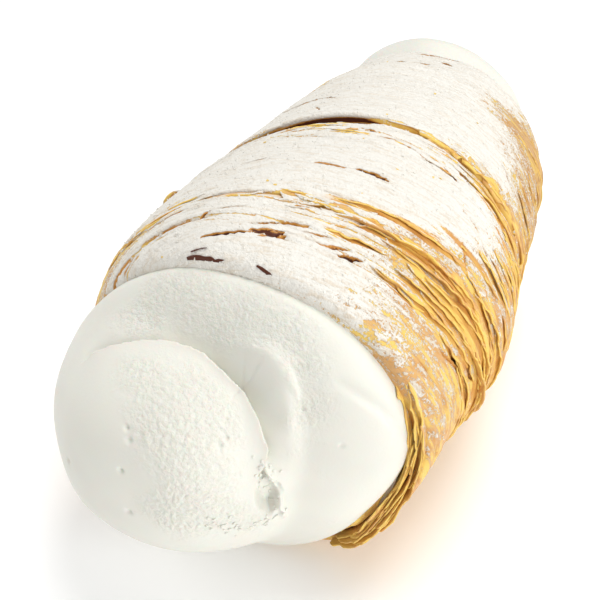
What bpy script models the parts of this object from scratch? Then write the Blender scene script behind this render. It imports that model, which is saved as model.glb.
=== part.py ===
"""Cream horn pastry: a strip of puff pastry wound into a roll and filled with foam.

The roll lies along Y on a small flat spot, with its fuller end towards -Y. The origin is the
middle of that flat spot and +Z is up. Blender works in metres, and the sizes below are in
millimetres, turned into metres by MM. Angles round the roll start at its top and grow towards +X.
"""
import math

import bmesh
import bpy
from mathutils import Vector

MM = 0.001

# The roll
ROLL_LENGTH = 86.0 * MM
NEAR_RADIUS = 28.5 * MM          # mean outer radius at the -Y end
MID_RADIUS = 28.3 * MM
FAR_RADIUS = 24.0 * MM
AXIS_HEIGHT = 28.0 * MM          # less than MID_RADIUS, so the underside is cut flat
NEAR_BORE = 24.6 * MM            # radius of the bore at the -Y end
FAR_BORE = 20.6 * MM

# The wound strip
STRIP_PITCH = 29.5 * MM          # distance along the roll from one turn to the next
SEAM_START = -1.0 * MM           # where the middle seam crosses the top
SEAM_WANDER = 3.8 * MM           # the hand-wound seam strays this far from a true helix
SEAM_WAVE = 1.8 * MM
WANDER_ANGLE = math.radians(20)
STEP = 1.05 * MM                 # each turn's near edge stands this far over the turn before it
PROUD_STEP = 2.0 * MM            # and this much more where the middle turn is proudest
PROUD_TURN = -0.71               # counted in turns from the middle seam at the top
PROUD_SPREAD = 0.27
SEAM_SLACK = 0.001               # so that a point on a seam counts as the turn that starts there
NOSE = 0.035                     # the edge's rounding, as a share of the strip's width
BELLY_POWER = 4                  # a higher power keeps the strip fuller up to its tucked edge
TUCK = 0.4                       # share of the step that is sunk below the mean radius
SAG = 0.25 * MM                  # slow unevenness of the wall
SAG_LENGTH = 11.0 * MM
WAIST_DEPTH = 2.1 * MM           # a slack hollow in the near turn, on the browned side
WAIST_PLACE = -38.0 * MM
WAIST_LENGTH = 12.0 * MM
BROWNED_SIDE = math.radians(114)
BROWNED_SPREAD = math.radians(34)
TURNS_BEFORE = 3
TURNS_AFTER = 3
STEPS_PER_TURN = 60
STRIP_SHARES = (0.0, 0.02, 0.06, 0.14, 0.3, 0.5, 0.7, 0.86)

# The ends of the roll
RIM_ROUND = 2.4 * MM             # length over which a rim turns in
RIM_DROP = 0.8 * MM
RIM_ROWS = (0.35, 1.0)           # rows of the rounding, as shares of RIM_ROUND
LIP_REACH = 1.2 * MM             # loose leaves push the near rim outwards, low on one side
LIP_ANGLE = math.radians(137)
LIP_SPREAD = math.radians(16)
LIP_LENGTH = 12.0 * MM

# The foam
GAP = 0.3 * MM
# A lobe: its centre, seen from the middle of its rim, its radius, its bulge along Y, and a
# power: 2 is an ellipsoid, and a higher one has a flatter face and squarer shoulders
NEAR_COLLAR = (Vector((0.0, 0.0, 0.0)) * MM, 25.8 * MM, 9.5 * MM, 2.2)
NEAR_RING = (Vector((-8.0, 0.0, -3.5)) * MM, 21.5 * MM, 20.2 * MM, 2.05)
NEAR_TIP = (Vector((-6.9, -1.4, -0.5)) * MM, 17.0 * MM, 20.5 * MM, 2.6)
FAR_COLLAR = (Vector((0.0, 0.0, 0.0)) * MM, 21.8 * MM, 9.0 * MM, 2.2)
FAR_TIP = (Vector((-1.6, 0.0, 3.8)) * MM, 21.5 * MM, 18.0 * MM, 2.2)
LOBE_BLEND = 14.0                # a higher power keeps the fold between the lobes sharper
FOLD_DEPTH = 1.3 * MM            # the groove where the tip lobe lies on the near lobe
FOLD_WIDTH = 2.6 * MM
HOLLOW_DEPTH = 2.6 * MM          # the ragged hollow at the low end of the groove
HOLLOW_SPOT = (8.0 * MM, -6.5 * MM)
HOLLOW_SIZE = (2.8 * MM, 6.0 * MM)
RIDGE_HEIGHT = 0.9 * MM          # the soft crest that curls beside the groove
RIDGE_SPOT = (10.9 * MM, 10.5 * MM)
RIDGE_SIZE = (2.4 * MM, 6.5 * MM)
FOAM_SIDES = 68
NEAR_DOME_ROWS = 24
FAR_DOME_ROWS = 10


def clear_scene():
    for item in list(bpy.data.objects):
        bpy.data.objects.remove(item, do_unlink=True)


def make_material(name, colour, roughness):
    material = bpy.data.materials.new(name)
    material.use_nodes = True
    shader = material.node_tree.nodes["Principled BSDF"]
    shader.inputs["Base Color"].default_value = (*colour, 1.0)
    shader.inputs["Roughness"].default_value = roughness
    shader.inputs["Metallic"].default_value = 0.0
    return material


def make_object(name, bm, material):
    mesh = bpy.data.meshes.new(name)
    bmesh.ops.recalc_face_normals(bm, faces=bm.faces)
    bm.to_mesh(mesh)
    bm.free()
    mesh.shade_smooth()
    mesh.materials.append(material)
    item = bpy.data.objects.new(name, mesh)
    bpy.context.scene.collection.objects.link(item)
    return item


def bell(value, spread):
    return math.exp(-(value / spread) ** 2)


def turn_between(angle, other):
    """Signed angle from other to angle, in -pi to pi."""
    return (angle - other + math.pi) % (2 * math.pi) - math.pi


def mean_radius(y):
    """Outer radius without the strip's steps: a barrel that narrows towards +Y."""
    share = y / (ROLL_LENGTH / 2)
    tilt = (FAR_RADIUS - NEAR_RADIUS) / 2
    belly = (FAR_RADIUS + NEAR_RADIUS) / 2 - MID_RADIUS
    return MID_RADIUS + tilt * share + belly * share ** 2


def bore_radius(y):
    share = y / ROLL_LENGTH + 0.5
    return NEAR_BORE + (FAR_BORE - NEAR_BORE) * share


def seam_wander(angle):
    """How far the seam strays along Y from a true helix."""
    turn = angle - WANDER_ANGLE
    return SEAM_WANDER * math.sin(turn) - SEAM_WAVE * math.sin(2 * turn)


def strip_height(share):
    """Height across the strip, from its round standing edge at 0 to its tucked edge at 1."""
    return (1 - math.exp(-share / NOSE)) * (1 - share ** BELLY_POWER) - TUCK


def step_scale(angle, y):
    """How much the step is deepened near the proudest part of the middle turn."""
    turn = (y - seam_wander(angle) - SEAM_START) / STRIP_PITCH - angle / (2 * math.pi)
    winding = math.floor(turn + SEAM_SLACK) + angle / (2 * math.pi)
    return 1 + PROUD_STEP / STEP * bell(winding - PROUD_TURN, PROUD_SPREAD)


def rim_drop(y):
    inside = ROLL_LENGTH / 2 - abs(y)
    share = max(0.0, 1 - inside / RIM_ROUND)
    return RIM_DROP * (1 - math.sqrt(max(0.0, 1 - share ** 2)))


def lip_push(angle, y):
    side = bell(turn_between(angle, LIP_ANGLE), LIP_SPREAD)
    return LIP_REACH * side * bell(y + ROLL_LENGTH / 2, LIP_LENGTH)


def waist(angle, y):
    side = bell(turn_between(angle, BROWNED_SIDE), BROWNED_SPREAD)
    return WAIST_DEPTH * side * bell(y - WAIST_PLACE, WAIST_LENGTH)


def wind_strip():
    """One strip's cross-section, wound from well before the near end to well past the far end."""
    bm = bmesh.new()
    start = SEAM_START - TURNS_BEFORE * STRIP_PITCH
    heights = [strip_height(share) for share in STRIP_SHARES] + [strip_height(0.0)]
    shares = list(STRIP_SHARES) + [1.0]
    line = [
        bm.verts.new((0, start + share * STRIP_PITCH, MID_RADIUS + height * STEP))
        for share, height in zip(shares, heights)
    ]
    edges = [bm.edges.new(pair) for pair in zip(line, line[1:])]
    turns = TURNS_BEFORE + TURNS_AFTER
    steps = turns * STEPS_PER_TURN
    bmesh.ops.spin(
        bm, geom=line + edges, axis=(0, 1, 0), cent=(0, 0, 0), angle=turns * 2 * math.pi,
        dvec=(0, STRIP_PITCH / STEPS_PER_TURN, 0), steps=steps, use_merge=False,
    )
    bmesh.ops.remove_doubles(bm, verts=bm.verts, dist=0.01 * MM)
    return bm


def trim_ends(bm):
    """Cut the wound strip off at both ends of the roll, with rows for the rims' rounding."""
    half = ROLL_LENGTH / 2
    for side in (-1, 1):
        geometry = list(bm.verts) + list(bm.edges) + list(bm.faces)
        bmesh.ops.bisect_plane(
            bm, geom=geometry, plane_co=(0, side * half, 0), plane_no=(0, side, 0),
            clear_outer=True,
        )
        for row in RIM_ROWS:
            geometry = list(bm.verts) + list(bm.edges) + list(bm.faces)
            place = side * (half - row * RIM_ROUND)
            bmesh.ops.bisect_plane(
                bm, geom=geometry, plane_co=(0, place, 0), plane_no=(0, side, 0),
            )


def shape_wall(bm):
    """Give the wound wall its barrel shape, deeper steps on one side, rims and lip."""
    for vert in bm.verts:
        angle = math.atan2(vert.co.x, vert.co.z)
        y = vert.co.y
        height = (math.hypot(vert.co.x, vert.co.z) - MID_RADIUS) * step_scale(angle, y)
        sag = SAG * math.sin(3 * angle + y / SAG_LENGTH)
        radius = mean_radius(y) + height + sag - rim_drop(y) + lip_push(angle, y) - waist(angle, y)
        vert.co.x = radius * math.sin(angle)
        vert.co.z = radius * math.cos(angle) + AXIS_HEIGHT


def make_bore_cutter():
    """A tapered plug, a little longer than the roll, that cuts the bore."""
    bm = bmesh.new()
    reach = ROLL_LENGTH / 2 + 5 * MM
    line = [
        bm.verts.new((0, -reach, 0)),
        bm.verts.new((0, -reach, bore_radius(-reach))),
        bm.verts.new((0, reach, bore_radius(reach))),
        bm.verts.new((0, reach, 0)),
    ]
    edges = [bm.edges.new(pair) for pair in zip(line, line[1:])]
    bmesh.ops.spin(
        bm, geom=line + edges, axis=(0, 1, 0), cent=(0, 0, 0), angle=2 * math.pi,
        steps=STEPS_PER_TURN, use_merge=True,
    )
    bmesh.ops.remove_doubles(bm, verts=bm.verts, dist=0.01 * MM)
    bmesh.ops.translate(bm, verts=bm.verts, vec=(0, 0, AXIS_HEIGHT))
    cutter = make_object("bore_cutter", bm, make_material("cutter", (0.5, 0.5, 0.5), 0.5))
    cutter.hide_render = True
    cutter.display_type = "WIRE"
    return cutter


def make_pastry_shell():
    bm = wind_strip()
    for vert in bm.verts:
        vert.co.y += seam_wander(math.atan2(vert.co.x, vert.co.z))
    trim_ends(bm)
    shape_wall(bm)
    bmesh.ops.holes_fill(bm, edges=bm.edges, sides=0)
    geometry = list(bm.verts) + list(bm.edges) + list(bm.faces)
    bmesh.ops.bisect_plane(
        bm, geom=geometry, plane_co=(0, 0, 0), plane_no=(0, 0, -1), clear_outer=True,
    )
    bmesh.ops.holes_fill(bm, edges=bm.edges, sides=0)
    shell = make_object("pastry_shell", bm, make_material("pastry", (0.72, 0.45, 0.17), 0.6))
    cut = shell.modifiers.new("bore", "BOOLEAN")
    cut.operation = "DIFFERENCE"
    cut.solver = "EXACT"
    cut.object = make_bore_cutter()
    return shell


def lobe_reach(direction, lobe):
    """Distance from a rim's middle to a lobe's surface, along a unit direction."""
    centre, radius, bulge, power = lobe
    near, far = 0.0, 2 * (radius + bulge)
    for _ in range(30):
        reach = (near + far) / 2
        spot = direction * reach - centre
        across = math.hypot(spot.x, spot.z) / radius
        along = abs(spot.y) / bulge
        if across ** power + along ** power < 1:
            near = reach
        else:
            far = reach
    return near


def merge_reach(reaches):
    return sum(reach ** LOBE_BLEND for reach in reaches) ** (1 / LOBE_BLEND)


def spot_bell(spot, place, size):
    return bell(spot.x - place[0], size[0]) * bell(spot.z - place[1], size[1])


def near_foam(direction):
    """A point of the near dome, from the middle of the near rim, along a unit direction."""
    under = merge_reach([lobe_reach(direction, lobe) for lobe in (NEAR_COLLAR, NEAR_RING)])
    tip = lobe_reach(direction, NEAR_TIP)
    reach = merge_reach([under, tip])
    spot = direction * reach
    fold = FOLD_DEPTH * bell(tip - under, FOLD_WIDTH)
    hollow = HOLLOW_DEPTH * spot_bell(spot, HOLLOW_SPOT, HOLLOW_SIZE)
    ridge = RIDGE_HEIGHT * spot_bell(spot, RIDGE_SPOT, RIDGE_SIZE)
    return direction * (reach - fold - hollow + ridge)


def far_foam(direction):
    return direction * merge_reach([lobe_reach(direction, lobe) for lobe in (FAR_COLLAR, FAR_TIP)])


def lathe_foam():
    """The foam as a turned bar with a ball's half at each end, which the lobes then reshape."""
    half = ROLL_LENGTH / 2 + GAP
    near = [math.pi / 2 * row / NEAR_DOME_ROWS for row in range(NEAR_DOME_ROWS + 1)]
    far = [math.pi / 2 * (1 - row / FAR_DOME_ROWS) for row in range(FAR_DOME_ROWS + 1)]
    line = [(-half - math.cos(polar) * MID_RADIUS, math.sin(polar) * MID_RADIUS) for polar in near]
    line += [(-half, bore_radius(-half) - GAP), (half, bore_radius(half) - GAP)]
    line += [(half + math.cos(polar) * MID_RADIUS, math.sin(polar) * MID_RADIUS) for polar in far]
    bm = bmesh.new()
    verts = [bm.verts.new((0, along, radius)) for along, radius in line]
    edges = [bm.edges.new(pair) for pair in zip(verts, verts[1:])]
    bmesh.ops.spin(
        bm, geom=verts + edges, axis=(0, 1, 0), cent=(0, 0, 0), angle=2 * math.pi,
        steps=FOAM_SIDES, use_merge=True,
    )
    bmesh.ops.remove_doubles(bm, verts=bm.verts, dist=0.01 * MM)
    return bm


def make_foam_filling():
    bm = lathe_foam()
    half = ROLL_LENGTH / 2 + GAP
    for side, surface in ((-1, near_foam), (1, far_foam)):
        middle = Vector((0, side * half, 0))
        for vert in bm.verts:
            spot = vert.co - middle
            on_ball = abs(spot.length - MID_RADIUS) < 0.1 * MM
            if on_ball and spot.y * side > -0.1 * MM:
                vert.co = middle + surface(spot.normalized())
    bmesh.ops.translate(bm, verts=bm.verts, vec=(0, 0, AXIS_HEIGHT))
    return make_object("foam_filling", bm, make_material("foam", (0.86, 0.85, 0.82), 0.55))


def main():
    clear_scene()
    make_pastry_shell()
    make_foam_filling()


main()
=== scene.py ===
"""Cream horn pastry: the looks of a wound puff-pastry roll filled with white foam.

The roll lies along Y with its fuller end towards -Y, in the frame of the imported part. Sizes are in
metres, or in millimetres turned into metres by MM. Places on the pastry are given as the strip was
wound: an angle along the winding, nought where the middle seam crosses the top and growing towards
+X, and a distance across the strip from its standing near edge.
"""
import math
from collections import namedtuple
from enum import IntEnum

import bmesh
import bpy
import numpy as np
from bpy.props import FloatProperty, FloatVectorProperty, IntProperty
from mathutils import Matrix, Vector


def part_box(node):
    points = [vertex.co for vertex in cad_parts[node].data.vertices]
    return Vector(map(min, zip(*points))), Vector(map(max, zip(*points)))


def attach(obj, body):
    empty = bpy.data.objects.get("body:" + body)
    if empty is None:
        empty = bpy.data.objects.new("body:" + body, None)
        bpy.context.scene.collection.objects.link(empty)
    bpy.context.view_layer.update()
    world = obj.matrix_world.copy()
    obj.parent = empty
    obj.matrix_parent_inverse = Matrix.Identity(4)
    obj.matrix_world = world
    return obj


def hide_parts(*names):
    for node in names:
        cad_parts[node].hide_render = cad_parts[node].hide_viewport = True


bl_info = {
    "name": "Cream Horn Pastry",
    "version": (1, 0, 0),
    "blender": (4, 5, 0),
    "location": "3D View > Sidebar > Pastry",
    "description": "Builds a sugared roll of wound puff pastry with foam at both ends",
    "category": "Object",
}

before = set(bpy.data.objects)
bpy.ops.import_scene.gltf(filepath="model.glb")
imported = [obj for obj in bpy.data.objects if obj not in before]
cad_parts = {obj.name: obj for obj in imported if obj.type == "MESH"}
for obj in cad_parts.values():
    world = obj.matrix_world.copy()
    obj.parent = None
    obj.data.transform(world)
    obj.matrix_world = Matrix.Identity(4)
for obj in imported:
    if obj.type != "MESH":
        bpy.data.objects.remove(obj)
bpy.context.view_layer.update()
shell_low, shell_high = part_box("pastry_shell")

MM = 0.001
FULL_TURN = 2 * math.pi

# ---- The roll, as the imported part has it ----
HALF_LENGTH = (shell_high.y - shell_low.y) / 2
NEAR_RADIUS = 28.5 * MM
MID_RADIUS = 28.3 * MM
FAR_RADIUS = 24.0 * MM
AXIS_HEIGHT = 28.0 * MM
NEAR_BORE = 24.6 * MM
FAR_BORE = 20.6 * MM
STRIP_PITCH = 29.5 * MM
SEAM_START = -1.0 * MM
SEAM_WANDER = 3.8 * MM
SEAM_WAVE = 1.8 * MM
WANDER_ANGLE = math.radians(20)
STEP = 1.05 * MM
PROUD_STEP = 2.0 * MM
PROUD_TURN = -0.71
PROUD_SPREAD = 0.27
PROUD_RAMP = 8.0 * MM             # the middle turn rises to its proudest over this distance
LAP_RISE = 0.9 * MM               # and the turn before it rises this much to meet it
BELLY_POWER = 4
TUCK = 0.4
SAG = 0.25 * MM
SAG_LENGTH = 11.0 * MM
WAIST_DEPTH = 2.1 * MM
WAIST_PLACE = -38.0 * MM
WAIST_LENGTH = 12.0 * MM
BROWNED_SIDE = math.radians(114)
BROWNED_SPREAD = math.radians(34)
RIM_ROUND = 2.4 * MM
RIM_DROP = 0.8 * MM
SUGARED_RIM = math.radians(-35)   # the near rim is rounder here, and sugared down to the foam
SUGARED_SPREAD = math.radians(95)
SUGARED_ROUND = 6.0 * MM
SUGARED_DROP = 2.6 * MM
OPEN_RIM = (math.radians(60), math.radians(88), math.radians(165), math.radians(200))
OPEN_DEPTH = 1.5 * MM             # the near rim is set back here behind its loose layers
JUT = 1.9 * MM                    # the near rim stands forward here, over the foam
JUT_ANGLE = math.radians(-8)
JUT_SPREAD = math.radians(48)
BROWN_RIM = math.radians(-57)     # the near rim's edge is bare here
BROWN_RIM_SPREAD = math.radians(13)
LIP_REACH = 1.2 * MM
LIP_ANGLE = math.radians(137)
LIP_SPREAD = math.radians(16)
LIP_LENGTH = 12.0 * MM

# ---- The standing edge of each turn, which hangs over the turn before it ----
EDGE_DROP = 1.9 * MM              # how deep the edge's foot goes under the turn before it
EDGE_WIDTH = 1.5 * MM
NOSE_PLACE = 0.8 * MM
NOSE_WIDTH = 0.8 * MM
FOOT_SET = 0.8 * MM
FRONT_WIDTH = 0.7 * MM            # this much of the strip is the edge's front
UNDERLAP = 1.6 * MM               # how far the far edge runs on under the next turn
CREVICE_DEPTH = 0.9 * MM
CREVICE_WIDTH = 1.0 * MM
# How the edges look on the way round: turn, angle in degrees from the turn's own top, how far in
# they are bare of sugar and how far they hang over in millimetres, how dark the painted shade at
# their foot is, under the overhang, and how much of the step the turn before takes up
EDGE_LOOKS = (
    (-2, -180, 1.0, 0.5, 0.4, 0.3),
    (-1, -180, 1.6, 0.9, 0.5, 0.2),
    (-1, -95, 1.0, 0.6, 0.5, 0.2),
    (-1, -62, 0.5, 0.5, 0.5, 0.4),
    (-1, -48, 0.1, 0.4, 0.7, 0.6),
    (-1, -34, 0.2, 0.4, 0.5, 0.6),
    (-1, -24, 0.0, 0.3, 0.5, 0.7),
    (-1, -13, -0.2, 0.2, 0.7, 0.7),
    (-1, -3, 0.2, 0.3, 0.6, 0.6),
    (-1, 2, 0.7, 0.5, 0.5, 0.4),
    (-1, 9, 1.0, 0.6, 0.5, 0.4),
    (-1, 14, 0.6, 0.6, 0.5, 0.4),
    (-1, 22, 0.5, 0.5, 0.2, 0.6),
    (-1, 40, 0.9, 0.6, 0.1, 0.7),
    (-1, 70, 1.6, 0.9, 0.2, 0.5),
    (-1, 180, 1.6, 0.9, 0.5, 0.3),
    (0, -110, 0.1, 0.6, 0.6, 0.1),
    (0, -75, -0.1, 0.4, 0.8, 0.0),
    (0, -40, -0.1, 0.1, 0.85, 0.0),
    (0, -26, -0.1, 0.1, 0.7, 0.0),
    (0, -14, -0.1, 0.1, 0.85, 0.0),
    (0, 2, -0.1, 0.1, 0.85, 0.0),
    (0, 10, 0.3, 0.7, 0.4, 0.1),
    (0, 22, 0.5, 0.7, 0.15, 0.2),
    (0, 36, 0.3, 0.7, 0.15, 0.3),
    (0, 46, 0.7, 0.8, 0.15, 0.2),
    (0, 75, 1.3, 0.9, 0.2, 0.1),
    (0, 120, 2.0, 1.0, 0.3, 0.1),
    (0, 180, 1.6, 0.8, 0.4, 0.3),
    (1, -110, 1.0, 0.5, 0.3, 0.6),
    (1, -70, -0.6, 0.0, 0.0, 1.0),
    (1, 90, -0.6, 0.0, 0.0, 1.0),
    (1, 150, 0.4, 0.2, 0.2, 0.7),
)
TURN_COLUMNS = 580
TOP_DENSITY = 0.3                 # columns are closer together at the top of the roll
GRAIN_SIZE = 0.5 * MM
EDGE_ROW = 0.11 * MM
WALL_ROW = 0.225 * MM
EDGE_ROWS_TO = 3.0 * MM
JOIN_GAP = 0.0002                 # radians left between turns, on the underside
NEAR_TURN = -2
LAST_TURN = 1
TURN_NAMES = {NEAR_TURN: "near_turn", -1: "middle_turn", 0: "far_turn", LAST_TURN: "last_turn"}
LAST_PROUD = 0.06 * MM            # the last turn's folded end lies this much over the far turn's
LAST_SINK = 4.0                   # and it sinks this steeply where the strip leaves the rim
LAST_UNDER = 0.5 * MM             # its inner side lies this much further in
LAST_FADE = (0.3 * MM, 1.0 * MM)  # and closes up over this much of the seam past the rim
BORE_CLEAR = 0.1 * MM

# ---- Thin leaves of the strip ----
# Each set: leaf width across, drift, relief, slit depth, seed
LEAF_SETS = (
    (3.1 * MM, 0.9, 0.34 * MM, 0.55 * MM, 11),
    (1.25 * MM, 1.1, 0.15 * MM, 0.22 * MM, 23),
)
LEAF_RUN = 16.0 * MM              # how far a leaf's edge runs before it fades
RIB_WIDTH = 0.62 * MM
RIB_RUN = 7.0 * MM
RIB_HEIGHT = 0.14 * MM
LUMP_SIZE = 9.0 * MM
LUMP_HEIGHT = 0.28 * MM

SLIT_SPREAD = 0.34                # half the width of a slit, with its soft sides
# Slits: start and end angle in degrees, start and end place across the strip in millimetres,
# width and depth in millimetres, and its painted shade. Angles are counted from the turn's own top.
SLITS = {
    -2: (
        (-12, 1, 18.5, 19.6, 0.7, 1.2, 1.0),
        (1, 9, 19.7, 20.6, 0.35, 0.8, 1.0),
        (-1, 13, 21.2, 24.1, 1.1, 1.3, 0.55),
        (0, 6, 20.3, 20.6, 0.5, 0.8, 0.8),
        (4, 12, 20.4, 21.2, 0.6, 0.9, 0.8),
        (3, 10, 19.4, 20.3, 0.55, 0.8, 0.5),
        (10, 20, 22.1, 23.6, 0.7, 1.0, 0.6),
        (12, 26, 20.9, 21.6, 0.45, 0.7, 0.4),
        (6, 14, 27.5, 28.4, 0.5, 0.8, 0.7),
        (20, 26, 21.6, 22.5, 0.9, 1.1, 0.55),
        (23, 30, 20.3, 22.0, 1.4, 1.2, 0.7),
        (-36, -17, 22.4, 22.8, 0.5, 0.8, 0.5),
        (-17, -5, 22.7, 25.8, 0.5, 0.8, 0.7),
        (-40, -12, 26.0, 27.2, 0.4, 0.7, 0.5),
        (-58, -40, 23.0, 22.2, 0.45, 0.7, 0.5),
        (68, 84, 21.0, 24.4, 2.2, 2.0, 0.5),
        (62, 80, 19.5, 21.5, 0.7, 1.2, 0.4),
    ),
    -1: (
        (-20, -15, 23.5, 23.7, 0.5, 0.8, 0.9),
        (-15, -7, 23.6, 24.8, 0.5, 0.9, 0.9),
        (-7, 2, 22.6, 24.3, 0.7, 1.1, 1.0),
        (1, 5, 23.4, 23.5, 0.4, 0.8, 0.8),
        (3, 10, 25.1, 24.3, 0.45, 0.8, 0.9),
        (11, 17, 23.3, 23.5, 0.45, 0.8, 0.5),
        (16, 25, 23.0, 22.0, 0.9, 1.2, 0.95),
        (25, 32, 21.9, 21.7, 0.7, 1.0, 0.9),
        (-20, -10, 25.2, 25.3, 0.4, 0.7, 0.8),
        (26, 32, 23.4, 22.8, 0.45, 0.7, 0.5),
        (33, 39, 22.3, 21.2, 0.7, 1.1, 1.0),
        (36, 55, 25.0, 21.0, 1.0, 0.9, 0.3),
        (52, 74, 24.9, 18.6, 1.2, 1.7, 0.6),
        (-20, -12, 10.4, 11.3, 0.5, 0.8, 0.6),
        (2, 11, 9.4, 9.9, 0.45, 0.7, 0.8),
        (13, 20, 10.3, 10.0, 0.7, 1.2, 1.0),
        (17, 23, 10.7, 10.2, 0.8, 1.3, 1.0),
        (49, 54, 7.4, 5.0, 0.8, 1.1, 0.5),
        (54, 61, 11.8, 10.2, 0.7, 0.9, 0.5),
        (44, 52, 14.6, 13.2, 0.5, 0.6, 0.4),
    ),
    0: (
        (-37, -22, 12.5, 11.4, 0.7, 1.0, 1.0),
        (-24, -14, 11.7, 9.6, 0.6, 1.0, 1.0),
        (-18, -15, 6.0, 4.0, 0.6, 0.8, 0.8),
        (-33, -27, 10.4, 10.9, 0.5, 0.8, 0.6),
        (50, 59, 9.8, 7.4, 0.9, 0.9, 0.35),
        (66, 75, 14.0, 12.5, 0.7, 0.7, 0.35),
    ),
    1: (
        (-11, -6, 5.2, 4.2, 2.4, 1.1, 1.0),
        (-7, 4, 3.9, 4.4, 1.9, 1.1, 1.0),
        (6, 12, 8.6, 7.3, 1.7, 0.9, 1.0),
        (-7, 14, 12.7, 12.0, 1.9, 0.9, 1.0),
    ),
}

# Loose leaves: turn, start and end angle, place of the near edge at both, width, lift, curl and
# how far in they are bare. A place under nought is on the turn before, next to the seam.
Leaf = namedtuple("Leaf", "turn start end first last width lift curl golden")
LEAVES = (
    (-1, 8, 46, 1.3, 4.6, 1.6, 0.45, 0.1, 0.6),
    (-1, 24, 58, 3.0, 4.6, 1.5, 0.5, 0.1, 0.9),
    (-1, 16, 72, -1.9, 1.2, 2.6, 0.8, 0.9, 1.5),
    (-1, 30, 92, -3.4, 0.6, 2.0, 0.8, 0.4, 1.2),
    (-1, 14, 34, -4.9, -4.9, 1.5, 0.5, 0.1, 0.9),
    (-1, 38, 78, -6.6, -5.3, 2.4, 0.7, 0.5, 1.6),
    (-1, 32, 70, -8.2, -7.0, 1.8, 0.45, 0.2, 0.7),
    (-1, 46, 110, -4.6, 1.6, 2.6, 0.9, 0.6, 1.8),
    (-1, 56, 120, -1.6, 3.6, 2.4, 0.9, 0.5, 1.6),
    (-1, 62, 118, 2.0, 6.0, 2.2, 0.8, 0.4, 1.4),
    (-1, 66, 112, -6.8, -3.4, 2.8, 1.2, 0.9, 2.2),
    (-1, 84, 130, -5.4, -0.6, 2.6, 1.2, 0.6, 2.0),
    (-1, 58, 104, -9.4, -7.6, 2.2, 0.6, 0.3, 1.2),
    (-1, -51, -44, 12.3, 12.5, 0.8, 0.8, 0.1, 0.9),
    (0, 10, 70, -0.4, 0.2, 1.6, 0.3, 0.2, 0.8),
    (0, 34, 90, -5.4, -7.0, 2.2, 0.5, 0.3, 0.8),
    (0, 36, 84, -3.0, -3.4, 1.8, 0.5, 0.2, 0.8),
    (0, 60, 124, -1.8, 0.2, 2.2, 0.7, 0.4, 1.4),
)
# Zones of small leaves: turn, angles, places, count and lift
LEAF_ZONES = (
    (-1, 20, 80, -9.0, 7.0, 18, 0.35),
    (-1, 70, 150, -9.5, 8.0, 28, 0.5),
    (-1, 36, 120, 7.0, 22.0, 22, 0.25),
    (-1, -75, -20, -4.0, 0.5, 9, 0.2),
    (-1, -30, 20, -8.0, 0.5, 8, 0.2),
    (-1, -8, 22, -1.5, 2.4, 9, 0.2),
    (0, -40, 30, -7.5, -2.4, 12, 0.2),
    (0, 25, 80, -8.5, 0.5, 9, 0.3),
    (0, 70, 150, -8.0, 4.0, 26, 0.5),
    (0, 48, 130, 5.0, 22.0, 24, 0.25),
    (-1, 150, 275, -7.0, 4.0, 30, 0.45),
    (0, 150, 275, -6.0, 3.0, 22, 0.4),
    (1, 60, 150, -6.0, 4.0, 12, 0.25),
)
# Small leaves: length in degrees, slope and width in millimetres, and, as shares of the zone's
# lift, how far they stand up, curl and are bare
SMALL_LENGTH = (12, 42)
SMALL_SLOPE = (-0.6, 0.9)
SMALL_WIDTH = (1.0, 3.0)
SMALL_LIFT = (0.4, 1.2)
SMALL_CURL = (0, 0.5)
SMALL_GOLDEN = (0.4, 1.4)
# Layers of the near rim: start and end angle, depth under the wall, width, jut and flare
RIM_LEAVES = (
    (48, 96, 1.0, 4.0, 0.3, 0.1),
    (55, 112, 2.2, 4.0, 0.5, 0.2),
    (60, 136, 0.2, 4.5, 0.3, 0.1),
    (66, 128, 1.0, 4.0, 0.9, 0.3),
    (72, 118, 2.7, 3.4, 1.0, -0.4),
    (80, 146, 1.9, 3.6, 0.7, 0.1),
    (86, 130, 2.9, 3.2, 1.5, -1.1),
    (96, 142, 2.4, 3.4, 1.6, -1.6),
    (92, 124, 1.3, 4.0, 1.4, -0.2),
    (104, 150, 0.5, 5.0, 0.9, 0.2),
    (104, 138, 1.5, 4.2, 1.8, -0.9),
    (112, 146, 1.1, 4.6, 1.5, 0.0),
    (110, 140, 0.5, 5.2, 1.3, 0.4),
    (100, 128, 0.2, 3.0, 0.8, 0.7),
    (76, 104, 0.3, 3.0, 0.5, 0.5),
    (84, 140, 1.6, 3.4, 1.2, 0.0),
    (98, 136, 0.8, 3.4, 1.1, 0.3),
    (170, 250, 0.6, 4.0, 0.7, 0.3),
    (185, 262, 1.5, 4.0, 0.8, 0.4),
    (205, 290, 0.3, 4.0, 0.6, 0.3),
)
RIM_CLEAR = 2.5 * MM              # no small leaf lies closer than this to either rim
# Dark gaps by the sugared rim, too fine for the strip's own mesh, as sheets of painted shade:
# start and end angle, place across the strip at both, and width in millimetres
RIM_SHADE_SHEETS = (
    (-15.0, -2.0, 16.8, 15.25, 0.30),
    (-6.0, -2.5, 15.8, 15.55, 0.08),
    (-13.5, -8.5, 17.0, 16.85, 0.11),
    (7.0, 12.0, 15.0, 14.45, 0.22),
)
GAP_COLUMNS = 60
GAP_ROWS = 4
GAP_LIFT = 0.35 * MM
LEAF_THICKNESS = 0.2 * MM
LEAF_COLUMN = 0.5 * MM
LEAF_ROW = 0.3 * MM
LEAF_SINK = 0.35 * MM             # how deep a leaf's far edge is sunk in the strip
LEAF_WAVE = 0.4 * MM
LEAF_WAVE_RUN = 9.0 * MM
LEAF_SHIFT = 3.0 * MM             # shifts the pattern from one leaf to the next
PAINTED_LEAF_SHADE = 0.25                  # painted shade on a leaf, deepening towards its sunk far edge
PAINTED_INNER_SHADE = 0.22                 # and painted shade on its side that faces the roll
PAINTED_SHELTER_SHADE = 0.3                # and how dark the painted shade on the strip under it is
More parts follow.
